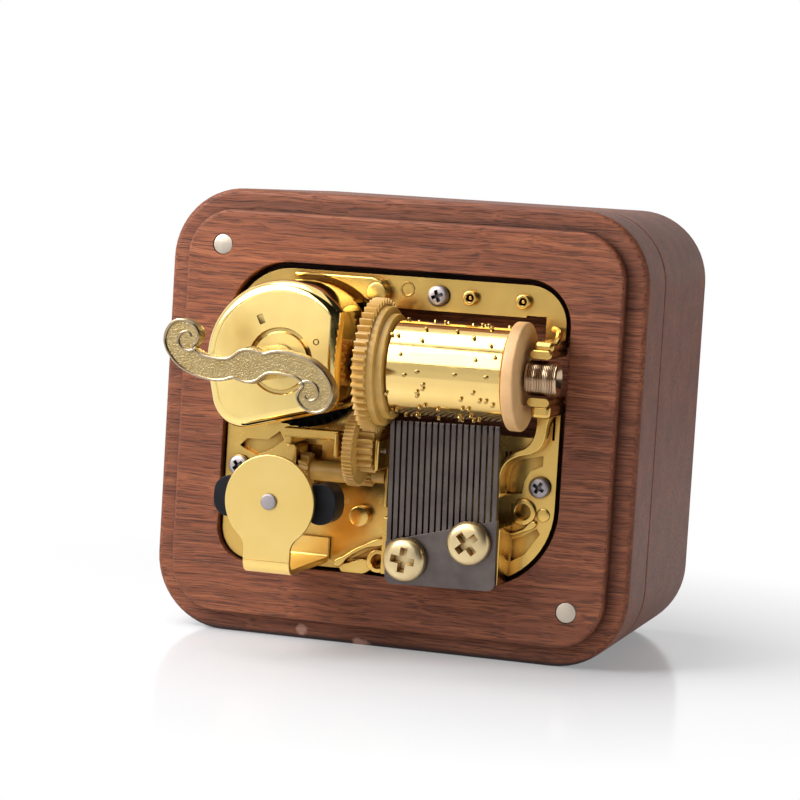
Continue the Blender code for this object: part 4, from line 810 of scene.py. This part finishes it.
def ejector_mark(x, up, radius):
    """Raised ring that a mould's ejector leaves."""
    return bead([(px, py, BASE_TOP) for px, py in arc((x, up), radius, 0, 354, 59)], 0.13, closed=True)


def dress_base_casting():
    shapes = [base_plate(), ejector_mark(0.83, 52.64, 0.95)]
    shapes += [boss(*sizes) for sizes in BOSSES]
    shapes += [plate([corners], BASE_TOP - 0.3, front, 0.2, True) for front, corners in RIBS]
    top_block = arc((WIND_X, DRUM_UP), 11.85, 105, 48, 20) + [
        (-3.8, 50.3), (-2.2, 50.9), (-1.9, 52.7), (-2.6, 53.7), (-4.1, 54.1), (-15.8, 54.1)]
    shapes.append(plate([top_block], BASE_TOP - 0.3, 0.8, 0.3))
    for left, right, low, high, front in BUSH_EARS:
        lobe = rounded_rectangle(left, right, low, high, (0.64, 0.64, 0.64, 0.64), 8)
        shapes.append(rim_rounded(plate([lobe], BASE_TOP - 0.3, front), front, 0.62, 6))
    shapes.append(bead(EAR_STRAP, 0.5, flowing=True))
    for x, up in BASE_SCREWS.values():
        shapes.append(moved(turned([(2.3, -3.0), (2.3, -5.2), (1.1, -5.2), (1.1, -3.0)], 32), (x, up, 0)))
    shapes += [moved(pin(0.3, BASE_TOP - 1.2, -0.2, 24, 0.12), (x, up, 0))
               for x, up, radius, front, bore in BOSSES if front == 0.1]
    shapes += bearings()
    piece("base_casting_dressed", joined(*shapes), CAST_GILT, "box", "gold_plate", "base_casting")


def bearings():
    """Comb ledge, bridge bar and the ears and pillar that carry the arbors."""
    root = BASE_TOP - 0.3
    pillar = rounded_rectangle(-14.65, -13.05, 23.72, 29.32, (0.6, 0.6, 0.1, 0.1), 4)
    return [
        block((1.05, 11.9, root), (18.45, 20.2, 5.1), 0.25),
        block((0.3, 27.0, root), (1.0, SECOND_UP + 1.8, DRUM_OUT + 2.5), 0.34),
        block((0.3, 21.2, root), (1.0, 27.2, THIRD_OUT + 1.4), 0.34),
        block((-5.75, SECOND_UP - 1.4, root), (-5.05, SECOND_UP + 2.2, DRUM_OUT + 2.5), 0.34),
        plate([pillar], root, THIRD_OUT + 2.2, 0.2),
        block((-14.35, 30.5, 4.4), (-5.45, 31.9, 6.0), 0.2),
        block((-14.35, 29.5, root), (-13.15, 31.3, 5.9), 0.2),
    ]


# Screws
def cross_screw(radius, height, shank, length, turn):
    """Pan head with a tapered cross recess, its seat at its own origin."""
    head = turned([
        (0, height), (radius * 0.4, height * 0.99), (radius * 0.68, height * 0.94),
        (radius * 0.84, height * 0.85), (radius * 0.94, height * 0.68), (radius, height * 0.42),
        (radius, height * 0.06), (radius * 0.97, 0), (shank, 0), (shank, -length), (0, -length)], 64)
    arms = []
    for i in range(2):
        reach, half, floor = radius * 0.62, radius * 0.185, height * 0.1
        bm = bmesh.new()
        bmesh.ops.create_cube(bm, size=1)
        for corner in bm.verts:
            flare = 1.0 if corner.co.z > 0 else 0.7
            corner.co.x *= 2 * reach * flare
            corner.co.y *= 2 * half * flare
            corner.co.z = height * 1.3 if corner.co.z > 0 else floor
        arms.append(moved(as_mesh(bm), Matrix.Rotation(turn + i * math.pi / 2, 4, "Z")))
    return carved(head, *arms)


def dress_screws():
    for (side, place), turn in zip(BASE_SCREWS.items(), (0.35, 1.05, 0.7)):
        head = moved(cross_screw(1.55, 0.9, 0.8, 8.0, turn), (*place, BASE_TOP + 0.3))
        piece("base_screw_" + side + "_dressed", head, SCREW_STEEL, "box", "bright_steel",
              "base_screw_" + side)
    for (side, place), turn in zip(COMB_SCREWS.items(), (-0.12, 0.72)):
        head = moved(cross_screw(3.15, 1.7, 1.2, 5.1, turn), (*place, 6.8))
        piece("comb_screw_" + side + "_dressed", head, SCREW_GILT, "box", "pale_gold",
              "comb_screw_" + side)


# Comb
def dress_comb():
    pitch = COMB_WIDTH / COMB_TEETH
    half = COMB_WIDTH / 2
    side = pitch / 2 - TOOTH_CLEARANCE
    tooth = plate([[(-side, -1), (side, -1), (side, 0), (-side, 0)]], -COMB_THICK, 0, 0.05)
    teeth = grown(tooth, TEETH_OF_COMB, {
        "Teeth": COMB_TEETH, "Pitch": pitch, "Longest": LONGEST_TOOTH, "Shortest": SHORTEST_TOOTH,
        "Finish": COMB_STEEL})
    foot = arc((1.1 - half, -22.3), 1.1, 180, 270, 8) + arc((half - 1.1, -22.3), 1.1, 270, 360, 8)
    body = plate([foot + [(half, -13.3), (-half, -17.3)]], -COMB_THICK, 0, 0.08)
    place = Matrix.Translation(COMB_PLACE) @ Matrix.Rotation(COMB_TURN, 4, "Z")
    holes = [moved(pin(1.5, 0, 10), (*centre, 0)) for centre in COMB_SCREWS.values()]
    body = carved(moved(body, place), *holes)
    piece("comb_dressed", joined(moved(teeth, place), body), COMB_STEEL, "box", "grey_steel", "comb")


# Drum and gears
def root_radius(wheel, depth=1.2):
    """Radius at the foot of a wheel's teeth, the depth below the pitch line in modules."""
    teeth, module = wheel
    return module * teeth / 2 - depth * module


def wheel_teeth(wheel, low, high, coat, edge=0.05, slant=0.0, **proportions):
    """Ring of teeth between two heights, turned about Z."""
    teeth, module = wheel
    tooth = plate([tooth_loop(teeth, module, **proportions)], low, high, edge)
    if slant:
        middle = (low + high) / 2
        for corner in tooth.vertices:
            corner.co.rotate(Matrix.Rotation(slant * (corner.co.z - middle), 3, "Z"))
    return grown(tooth, TEETH_ROUND_WHEEL, {"Teeth": teeth, "Finish": coat})


def dress_drum():
    edge = [(DRUM_RADIUS - inset, up) for inset, up in over(DRUM_RIGHT, 0.15, 3)]
    foot = [(DRUM_RADIUS - inset, up) for inset, up in under(DRUM_LEFT, 0.15, 3)]
    tube = turned([(3.55, DRUM_LEFT)] + foot + edge + [(3.55, DRUM_RIGHT)], 128)
    piece("drum_dressed", moved(tube, DRUM_LINE), DRUM_GILT, "drum_line", "gold_plate", "drum")
    stub = pin(0.29, -0.3, 0.42, 12, 0.1)
    pins = grown(stub, PINS_ON_DRUM, {
        "Pins": DRUM_PINS, "Tracks": COMB_TEETH, "Track Pitch": COMB_WIDTH / COMB_TEETH,
        "Beats": DRUM_BEATS, "Drum Radius": DRUM_RADIUS, "Seed": DRUM_SEED, "Finish": PIN_GILT})
    middle = Matrix.Translation((0, 0, COMB_PLACE[0] + 0.6))
    piece("drum_pins", moved(pins, DRUM_LINE @ middle), PIN_GILT, "drum_line", "gold_plate")


def dress_end_disc():
    left, right = DRUM_RIGHT + 0.3, DRUM_RIGHT + 2.05
    rim = [(7.7 - inset, up) for inset, up in under(left, 0.3) + over(right, 0.3)]
    dish = [(4.0, right), (3.7, right - 0.25), (1.1, right - 0.25)]
    disc = turned([(1.1, left)] + rim + dish, 128)
    piece("drum_end_disc_dressed", moved(disc, DRUM_LINE), BEIGE_NYLON, "drum_line", "beige_plastic",
          "drum_end_disc")


def dress_drum_gear():
    left, right, face = -1.63, 0.22, 2.25
    root, pinion_root = root_radius(DRUM_WHEEL), root_radius(CROWN_PINION)
    teeth = wheel_teeth(DRUM_WHEEL, left, right, TAN_NYLON)
    pinion = wheel_teeth(CROWN_PINION, -3.53, left + 0.2, TAN_NYLON)
    body = turned([
        (1.1, -3.53), (pinion_root, -3.53), (pinion_root, left), (5.6, left), (5.8, left + 0.25),
        (root - 0.9, left + 0.25), (root - 0.7, left), (root, left), (root, right),
        (8.5, right), (8.5, 0.95), (8.42, 1.14), (8.2, 1.22), (7.5, 1.22), (7.5, 2.0), (7.42, 2.18),
        (7.22, face), (1.1, face)], 128)
    item = joined(teeth, pinion, body)
    piece("drum_gear_dressed", moved(item, DRUM_LINE), TAN_NYLON, "drum_line", "tan_plastic", "drum_gear")


def dress_bush():
    left, right = 21.45, 25.9
    core = turned([
        (1.1, right - 0.8), (1.75, right), (2.2, right), (2.35, right - 0.15), (2.35, left), (1.1, left)], 64)
    thread = grown(bpy.data.meshes.new("seed"), THREAD_ROUND_ROD, {
        "Turns": 17.0, "Radius": 2.37, "Length": right - left - 0.5, "Bead": 0.125, "Finish": BUSH_GILT})
    shapes = joined(core, moved(thread, (0, 0, left + 0.2)))
    piece("threaded_bush_dressed", moved(shapes, DRUM_LINE), BUSH_GILT, "box", "pale_gold", "threaded_bush")


def dress_second_gear():
    left, right = -3.7, -2.2
    towards_third = math.atan2(THIRD_UP - SECOND_UP, DRUM_OUT - THIRD_OUT)
    wheel = wheel_teeth(SECOND_WHEEL, left, right, TAN_NYLON, 0.03)
    wheel = moved(wheel, Matrix.Rotation(towards_third, 4, "Z"))
    pinion = moved(wheel_teeth(SECOND_PINION, right - 0.2, 0.0, TAN_NYLON),
                   Matrix.Rotation(math.pi / 2 + math.pi / SECOND_PINION[0], 4, "Z"))
    root, pinion_root = root_radius(SECOND_WHEEL), root_radius(SECOND_PINION)
    body = turned([
        (0.7, -4.75), (1.0, -4.75), (1.0, left), (2.0, left), (2.2, left + 0.25), (root - 0.9, left + 0.25),
        (root - 0.7, left), (root, left), (root, right), (pinion_root, right), (pinion_root, 0.0),
        (0.7, 0.0)], 96)
    place = along_x(SECOND_UP, DRUM_OUT)
    piece("second_gear_dressed", moved(joined(wheel, pinion, body), place), TAN_NYLON, "second_wheel",
          "tan_plastic", "second_gear")


def dress_third_gear():
    wheel_radius = THIRD_UP - GOVERNOR_UP - WORM_RADIUS - 0.2
    worm_wheel, depth = (WORM_TEETH, 2 * wheel_radius / WORM_TEETH), 0.95
    lead = 2 * math.pi * wheel_radius / WORM_TEETH
    slant = lead / (2 * math.pi * WORM_RADIUS) / wheel_radius
    towards_second = math.atan2(SECOND_UP - THIRD_UP, THIRD_OUT - DRUM_OUT)
    pinion = moved(wheel_teeth(THIRD_PINION, -4.2, -1.9, TAN_NYLON, 0.03),
                   Matrix.Rotation(towards_second + math.pi / THIRD_PINION[0], 4, "Z"))
    wheel = wheel_teeth(worm_wheel, GOVERNOR_X - 0.7, GOVERNOR_X + 0.7, TAN_NYLON, 0.04, slant,
                        addendum=0.75, dedendum=depth)
    wheel = moved(wheel, Matrix.Rotation(-math.pi / 2, 4, "Z"))
    root = root_radius(worm_wheel, depth)
    body = turned([
        (0.6, GOVERNOR_X - 0.7), (root, GOVERNOR_X - 0.7), (root, GOVERNOR_X + 0.7), (1.3, GOVERNOR_X + 0.7),
        (1.45, GOVERNOR_X + 0.9), (1.45, -4.1), (1.35, -4.0), (1.16, -4.0), (1.16, -1.9), (1.0, -1.9),
        (1.0, 0.0), (0.6, 0.0)], 64)
    place = along_x(THIRD_UP, THIRD_OUT)
    piece("third_gear_dressed", moved(joined(wheel, pinion, body), place), TAN_NYLON, "third_wheel",
          "tan_plastic", "third_gear")


# Spring housing
def dress_housing():
    low = BASE_TOP + 0.3
    outer = [(housing_loop(inset), up) for inset, up in [(0, low)] + over(HOUSING_TOP, 1.7, 12)]
    ceiling = over(HOUSING_TOP - HOUSING_WALL, 0.8, 5)
    inner = [(housing_loop(HOUSING_WALL + inset), up) for inset, up in [(0, low - 1)] + ceiling]
    short_side = [(-17.25, 28.9), (-3.15, 28.9), (-3.15, 54.9), (-5.75, 54.9), (-5.75, 37.9), (-17.25, 37.9)]
    ring = turned([(4.62, 13.55), (4.78, 14.02), (4.78, 15), (4.02, 15), (4.02, 14.02), (4.18, 13.55)], 96)
    centre = (WIND_X, DRUM_UP, 0)
    dent = plate([rounded_rectangle(-0.45, 0.45, -0.7, 0.7, (0.12,) * 4, 3)], 13.8, 15)
    dent_place = Matrix.Translation((-15.9, 47.6, 0)) @ Matrix.Rotation(math.radians(25), 4, "Z")
    dot = (-7.56, 44.96, 0)
    dot_rim = moved(turned([(0.3, 13.75), (0.46, 13.75), (0.46, 15), (0.3, 15)], 24), dot)
    cup = carved(
        lofted(outer), lofted(inner), plate([short_side], low - 1, 4.4), moved(ring, centre), dot_rim,
        moved(pin(2.1, 11, 15, 48), centre), moved(dent, dent_place),
        moved(pin(1.05, -8.15, 1, 40), DRUM_LINE @ Matrix.Translation((0, 0, 2))))
    piece("spring_housing_dressed", cup, POLISHED_GILT, "box", "gold_plate", "spring_housing")


# Key
def dress_key():
    centre = Matrix.Translation((WIND_X, DRUM_UP, 0))
    low = KEY_TOP - KEY_THICK
    face = plate([key_loop()], low, KEY_TOP - 0.3, 0.1, True)
    piece("key_face", moved(face, centre), KEY_FACE_GILT, "winding", "pale_gold", "key")
    rim = bead([(x, y, KEY_TOP - 0.2) for x, y in inner_key_loop(0.19)], 0.19, closed=True, flowing=True)
    hub = turned([
        (2.35, 14.6), (2.35, low - 0.5), (2.6, low + 0.3), (0, low + 0.3), (0, low - 2), (1.8, low - 2),
        (1.8, 14.6)], 64)
    piece("key_stem", moved(hub, centre), KEY_STEM_SHADED_GILT, "winding", "pale_gold", "key")
    ridges = [scroll_ridge(side) for side in (1, -1)]
    piece("key_rim", moved(joined(rim, *ridges), centre), KEY_RIM_GILT, "winding", "pale_gold", "key")


def inner_key_loop(inset):
    """The key's outline moved inwards."""
    points = [Vector(point) for point in key_loop()]
    moved_in = []
    for i, point in enumerate(points):
        along = (points[(i + 1) % len(points)] - points[i - 1]).normalized()
        moved_in.append(point + inset * Vector((along.y, -along.x)))
    return [tuple(point) for point in moved_in]


def scroll_ridge(side):
    """Ridge that runs from the notch of one scroll round its eye, thinning as it goes."""
    eye = (8.95, -3.1)
    points, radii = [], []
    for i in range(25):
        share = i / 24
        turn = math.radians(139 - 290 * share)
        reach = 1.8 - 1.25 * share**1.3
        points.append((side * (eye[0] + reach * math.cos(turn)), side * (eye[1] + reach * math.sin(turn)),
                       KEY_TOP - 0.22))
        radii.append(1 - 0.45 * share)
    return bead(points, 0.21, radii=radii)


# Governor
def dress_fan():
    low, high, reach, half, corner = 11.0, 15.2, 9.1, 25.0, 2.3
    shapes = [pin(1.6, low, high, 40, 0.1)]
    lean = half - math.degrees(math.asin(corner / (reach - corner)))
    for side in (0, 180):
        first, last = arc((0, 0), reach - corner, side - lean, side + lean, 1)
        wing = (arc(first, corner, side - half - 90, side - lean, 12)
                + arc((0, 0), reach, side - lean, side + lean, 8)[1:-1]
                + arc(last, corner, side + lean, side + half + 90, 12)
                + [(1.3 * math.cos(math.radians(side)), 0.02)])
        shapes.append(plate([wing], low, high, 0.15))
    place = Matrix.Translation((GOVERNOR_X, GOVERNOR_UP, 0))
    piece("governor_fan_dressed", moved(joined(*shapes), place), BLACK_NYLON, "governor", "black_plastic",
          "governor_fan")


def bracket_cap_loop():
    """Disc that narrows through two hollow curves into the stem."""
    neck, half, reach = 2.4, 3.45, 6.6
    low = -math.sqrt((reach + neck) ** 2 - (half + neck) ** 2)
    meet = math.degrees(math.atan2(low, half + neck))
    right = arc((half + neck, low), neck, 180 + meet, 180, 10)
    disc = arc((0, 0), reach, meet, 180 - meet, 60)
    left = arc((-half - neck, low), neck, -meet, 0, 10)
    return disc + left + [(-half, -8.4), (half, -8.4)] + right[::-1]


def bracket_leg():
    """Strip folded back from the cap to the base, seen from its side as height and reach."""
    fold, thick, low, foot = 1.9, 0.8, -10.31, BASE_TOP + 0.3
    outside = arc((low + fold, 17.3 - fold), fold, 90, 180, 8)
    inside = arc((low + fold, 17.3 - fold), fold - thick, 180, 90, 8)
    turn_out = arc((low + 1.2, foot + 1.2), 1.2, 180, 270, 6)
    turn_in = arc((low + 1.2, foot + 1.2), 0.4, 270, 180, 6)
    profile = outside + turn_out + [(low + 3.6, foot), (low + 3.6, foot + thick)] + turn_in + inside
    strip = plate([profile], -3.45, 3.45, 0.12)
    return moved(strip, Matrix(((0, 0, 1, 0), (1, 0, 0, 0), (0, 1, 0, 0), (0, 0, 0, 1))))


def dress_bracket():
    place = Matrix.Translation((GOVERNOR_X, GOVERNOR_UP, 0))
    cap = plate([bracket_cap_loop()], 16.5, 17.3, 0.12)
    piece("governor_bracket_dressed", moved(joined(cap, bracket_leg()), place), BRUSHED_GILT, "box",
          "gold_plate", "governor_bracket")
    rivet = turned([(0, 0.16), (0.85, 0.14), (1.04, 0.10), (1.13, 0.03), (1.15, 0), (0.5, 0), (0.5, -1.7),
                    (0, -1.7)], 48)
    rivet_place = place @ Matrix.Translation((0, 0, 17.6))
    piece("governor_rivet_dressed", moved(rivet, rivet_place), RIVET_STEEL, "box", "bright_steel",
          "governor_rivet")


def coat_hidden_nodes():
    """CAD nodes that keep their own shape get a finish."""
    coats = {
        "mainspring": COMB_STEEL, "winding_arbor": SCREW_STEEL, "clutch_sleeve": SCREW_STEEL,
        "crown_gear": WHEEL_BLACK, "drum_shaft": SCREW_STEEL, "second_arbor": SCREW_STEEL,
        "third_arbor": SCREW_STEEL, "governor_worm": SCREW_STEEL,
    }
    for name, coat in coats.items():
        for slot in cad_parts[name].material_slots:
            slot.material = coat


# Studio
def stage_floor():
    """Pale table that fades to white away from the box."""
    made, tree, shader, place = finish("studio_floor", 0.14, Specular_IOR_Level=0.3)
    tone = noise(tree, place, 6.0, 2.0)
    tree.links.new(shades(tree, tone, (0.3, (0.87, 0.88, 0.92)), (0.7, (0.89, 0.90, 0.935))),
                   shader.inputs["Base Color"])
    away = node(tree, "ShaderNodeVectorMath", {0: place}, operation="LENGTH").outputs["Value"]
    white = node(tree, "ShaderNodeEmission", {"Color": (1, 1, 1, 1), "Strength": 1.0})
    both = node(tree, "ShaderNodeMixShader", {
        0: graded(tree, away, 0.25, 1.0, 0.042, 0.098), 1: shader.outputs[0], 2: white.outputs[0]})
    tree.links.new(both.outputs[0], tree.nodes["Material Output"].inputs["Surface"])
    bm = bmesh.new()
    bmesh.ops.create_grid(bm, x_segments=2, y_segments=2, size=3.0)
    floor = bpy.data.objects.new("studio_floor", as_mesh(bm))
    floor.data.materials.append(made)
    bpy.context.scene.collection.objects.link(floor)


def studio_world():
    world = bpy.data.worlds.new("white_studio")
    bpy.context.scene.world = world
    world.use_nodes = True
    tree = world.node_tree
    tree.nodes.clear()
    rays = node(tree, "ShaderNodeLightPath").outputs
    seen = math_node(tree, "MAXIMUM", rays["Is Camera Ray"],
                     math_node(tree, "MAXIMUM", rays["Is Glossy Ray"], rays["Is Transmission Ray"]))
    strength = node(tree, "ShaderNodeMapRange", {"Value": seen, "To Min": 0.34, "To Max": 1.0}).outputs[0]
    light = node(tree, "ShaderNodeBackground", {"Color": (1, 1, 1, 1), "Strength": strength})
    node(tree, "ShaderNodeOutputWorld", {"Surface": light.outputs[0]})


def aim(item, place, target):
    item.location = place
    item.rotation_euler = (Vector(target) - Vector(place)).to_track_quat("-Z", "Y").to_euler()


def softbox(name, place, target, width, height, power):
    lamp = bpy.data.lights.new(name, "AREA")
    lamp.shape = "RECTANGLE"
    lamp.size, lamp.size_y, lamp.energy = width, height, power
    item = bpy.data.objects.new(name, lamp)
    bpy.context.scene.collection.objects.link(item)
    aim(item, place, target)


def card(name, place, target, width, height, tone, ragged=0.0, shading=False):
    """Sheet seen only in the metal, where it draws one band; a shading one also dims the wood."""
    made, tree, shader, coordinates = finish(name, 1.0, Specular_IOR_Level=0.0)
    shader.inputs["Base Color"].default_value = (0, 0, 0, 1)
    glow = shades(tree, noise(tree, coordinates, 4.0), (0.3, (0.9, 0.9, 0.9)), (0.7, (1, 1, 1)))
    tree.links.new(glow, shader.inputs["Emission Color"])
    shader.inputs["Emission Strength"].default_value = tone
    bm = bmesh.new()
    bmesh.ops.create_grid(bm, x_segments=80 if ragged else 1, y_segments=1, size=0.5,
                          matrix=Matrix.Diagonal((width, height, 1, 1)))
    chance = random.Random(5)
    for corner in bm.verts:
        corner.co.y += chance.uniform(-ragged, ragged)
    sheet = bpy.data.objects.new(name, as_mesh(bm))
    sheet.data.materials.append(made)
    bpy.context.scene.collection.objects.link(sheet)
    aim(sheet, place, target)
    sheet.visible_camera = False
    sheet.visible_shadow = shading
    sheet.visible_diffuse = shading


def photo_camera():
    eye, target = Vector((0.11585, -0.40647, 0.06992)), Vector((0.00038, -0.0215, 0.03646))
    roll = math.radians(3.46)
    ahead = (target - eye).normalized()
    level = ahead.cross(Vector((0, 0, 1))).normalized()
    upright = level.cross(ahead)
    right = level * math.cos(roll) + upright * math.sin(roll)
    up = upright * math.cos(roll) - level * math.sin(roll)
    camera = bpy.data.objects.new("camera", bpy.data.cameras.new("camera"))
    camera.data.lens = 125.1
    camera.data.sensor_width = 36.0
    camera.data.clip_start, camera.data.clip_end = 0.01, 20
    bpy.context.scene.collection.objects.link(camera)
    axes = Matrix((right, up, -ahead)).transposed().to_4x4()
    camera.matrix_world = Matrix.Translation(eye) @ axes
    bpy.context.scene.camera = camera


def light_studio():
    studio_world()
    target = (0.0, -0.025, 0.035)
    softbox("window_softbox", (-0.135, -0.157, 0.174), target, 0.15, 0.15, 0.62)
    softbox("overhead_softbox", (-0.12, -0.06, 0.50), target, 0.3, 0.25, 0.8)
    card("bright_sheet", (-0.286, -0.39, 0.36), target, 0.8, 0.40, 3.6)
    card("line_card", (-0.04, -0.27, 0.44), target, 0.9, 0.02, 0.02)
    card("ragged_card", (-0.15, -0.52, 0.175), target, 0.9, 0.016, 0.05, 0.012)
    card("room_card", (-0.3, -0.95, 0.13), (-0.3, 0, 0.13), 1.2, 0.28, 0.70)
    card("table_card", (-0.2, -0.55, 0.002), (-0.2, -0.55, 1.0), 1.2, 0.78, 0.78)
    card("camera_card", (0.254, -0.655, 0.205), target, 0.68, 0.60, 0.015)
    card("right_card", (0.55, -0.38, 0.22), target, 0.66, 0.62, 0.01)
    card("corner_card", (0.20, -0.40, 0.46), target, 0.55, 0.4, 0.01)
    card("rear_table_card", (0.22, 0.75, 0.002), (0.22, 0.75, 1.0), 1.0, 0.9, 0.02)
    card("left_card", (-0.55, 0.07, 0.25), target, 0.03, 0.8, 0.01)
    card("side_flag", (0.14, 0.045, 0.18), (0.02, 0.0, 0.05), 0.3, 0.22, 0.02, shading=True)


def main():
    dress_front_block()
    dress_rear_box()
    dress_magnets()
    dress_base_casting()
    dress_screws()
    dress_comb()
    dress_drum()
    dress_end_disc()
    dress_drum_gear()
    dress_bush()
    dress_second_gear()
    dress_third_gear()
    dress_housing()
    dress_key()
    dress_fan()
    dress_bracket()
    coat_hidden_nodes()
    stage_floor()
    light_studio()
    photo_camera()
    bpy.context.scene.view_settings.view_transform = "Standard"


main()
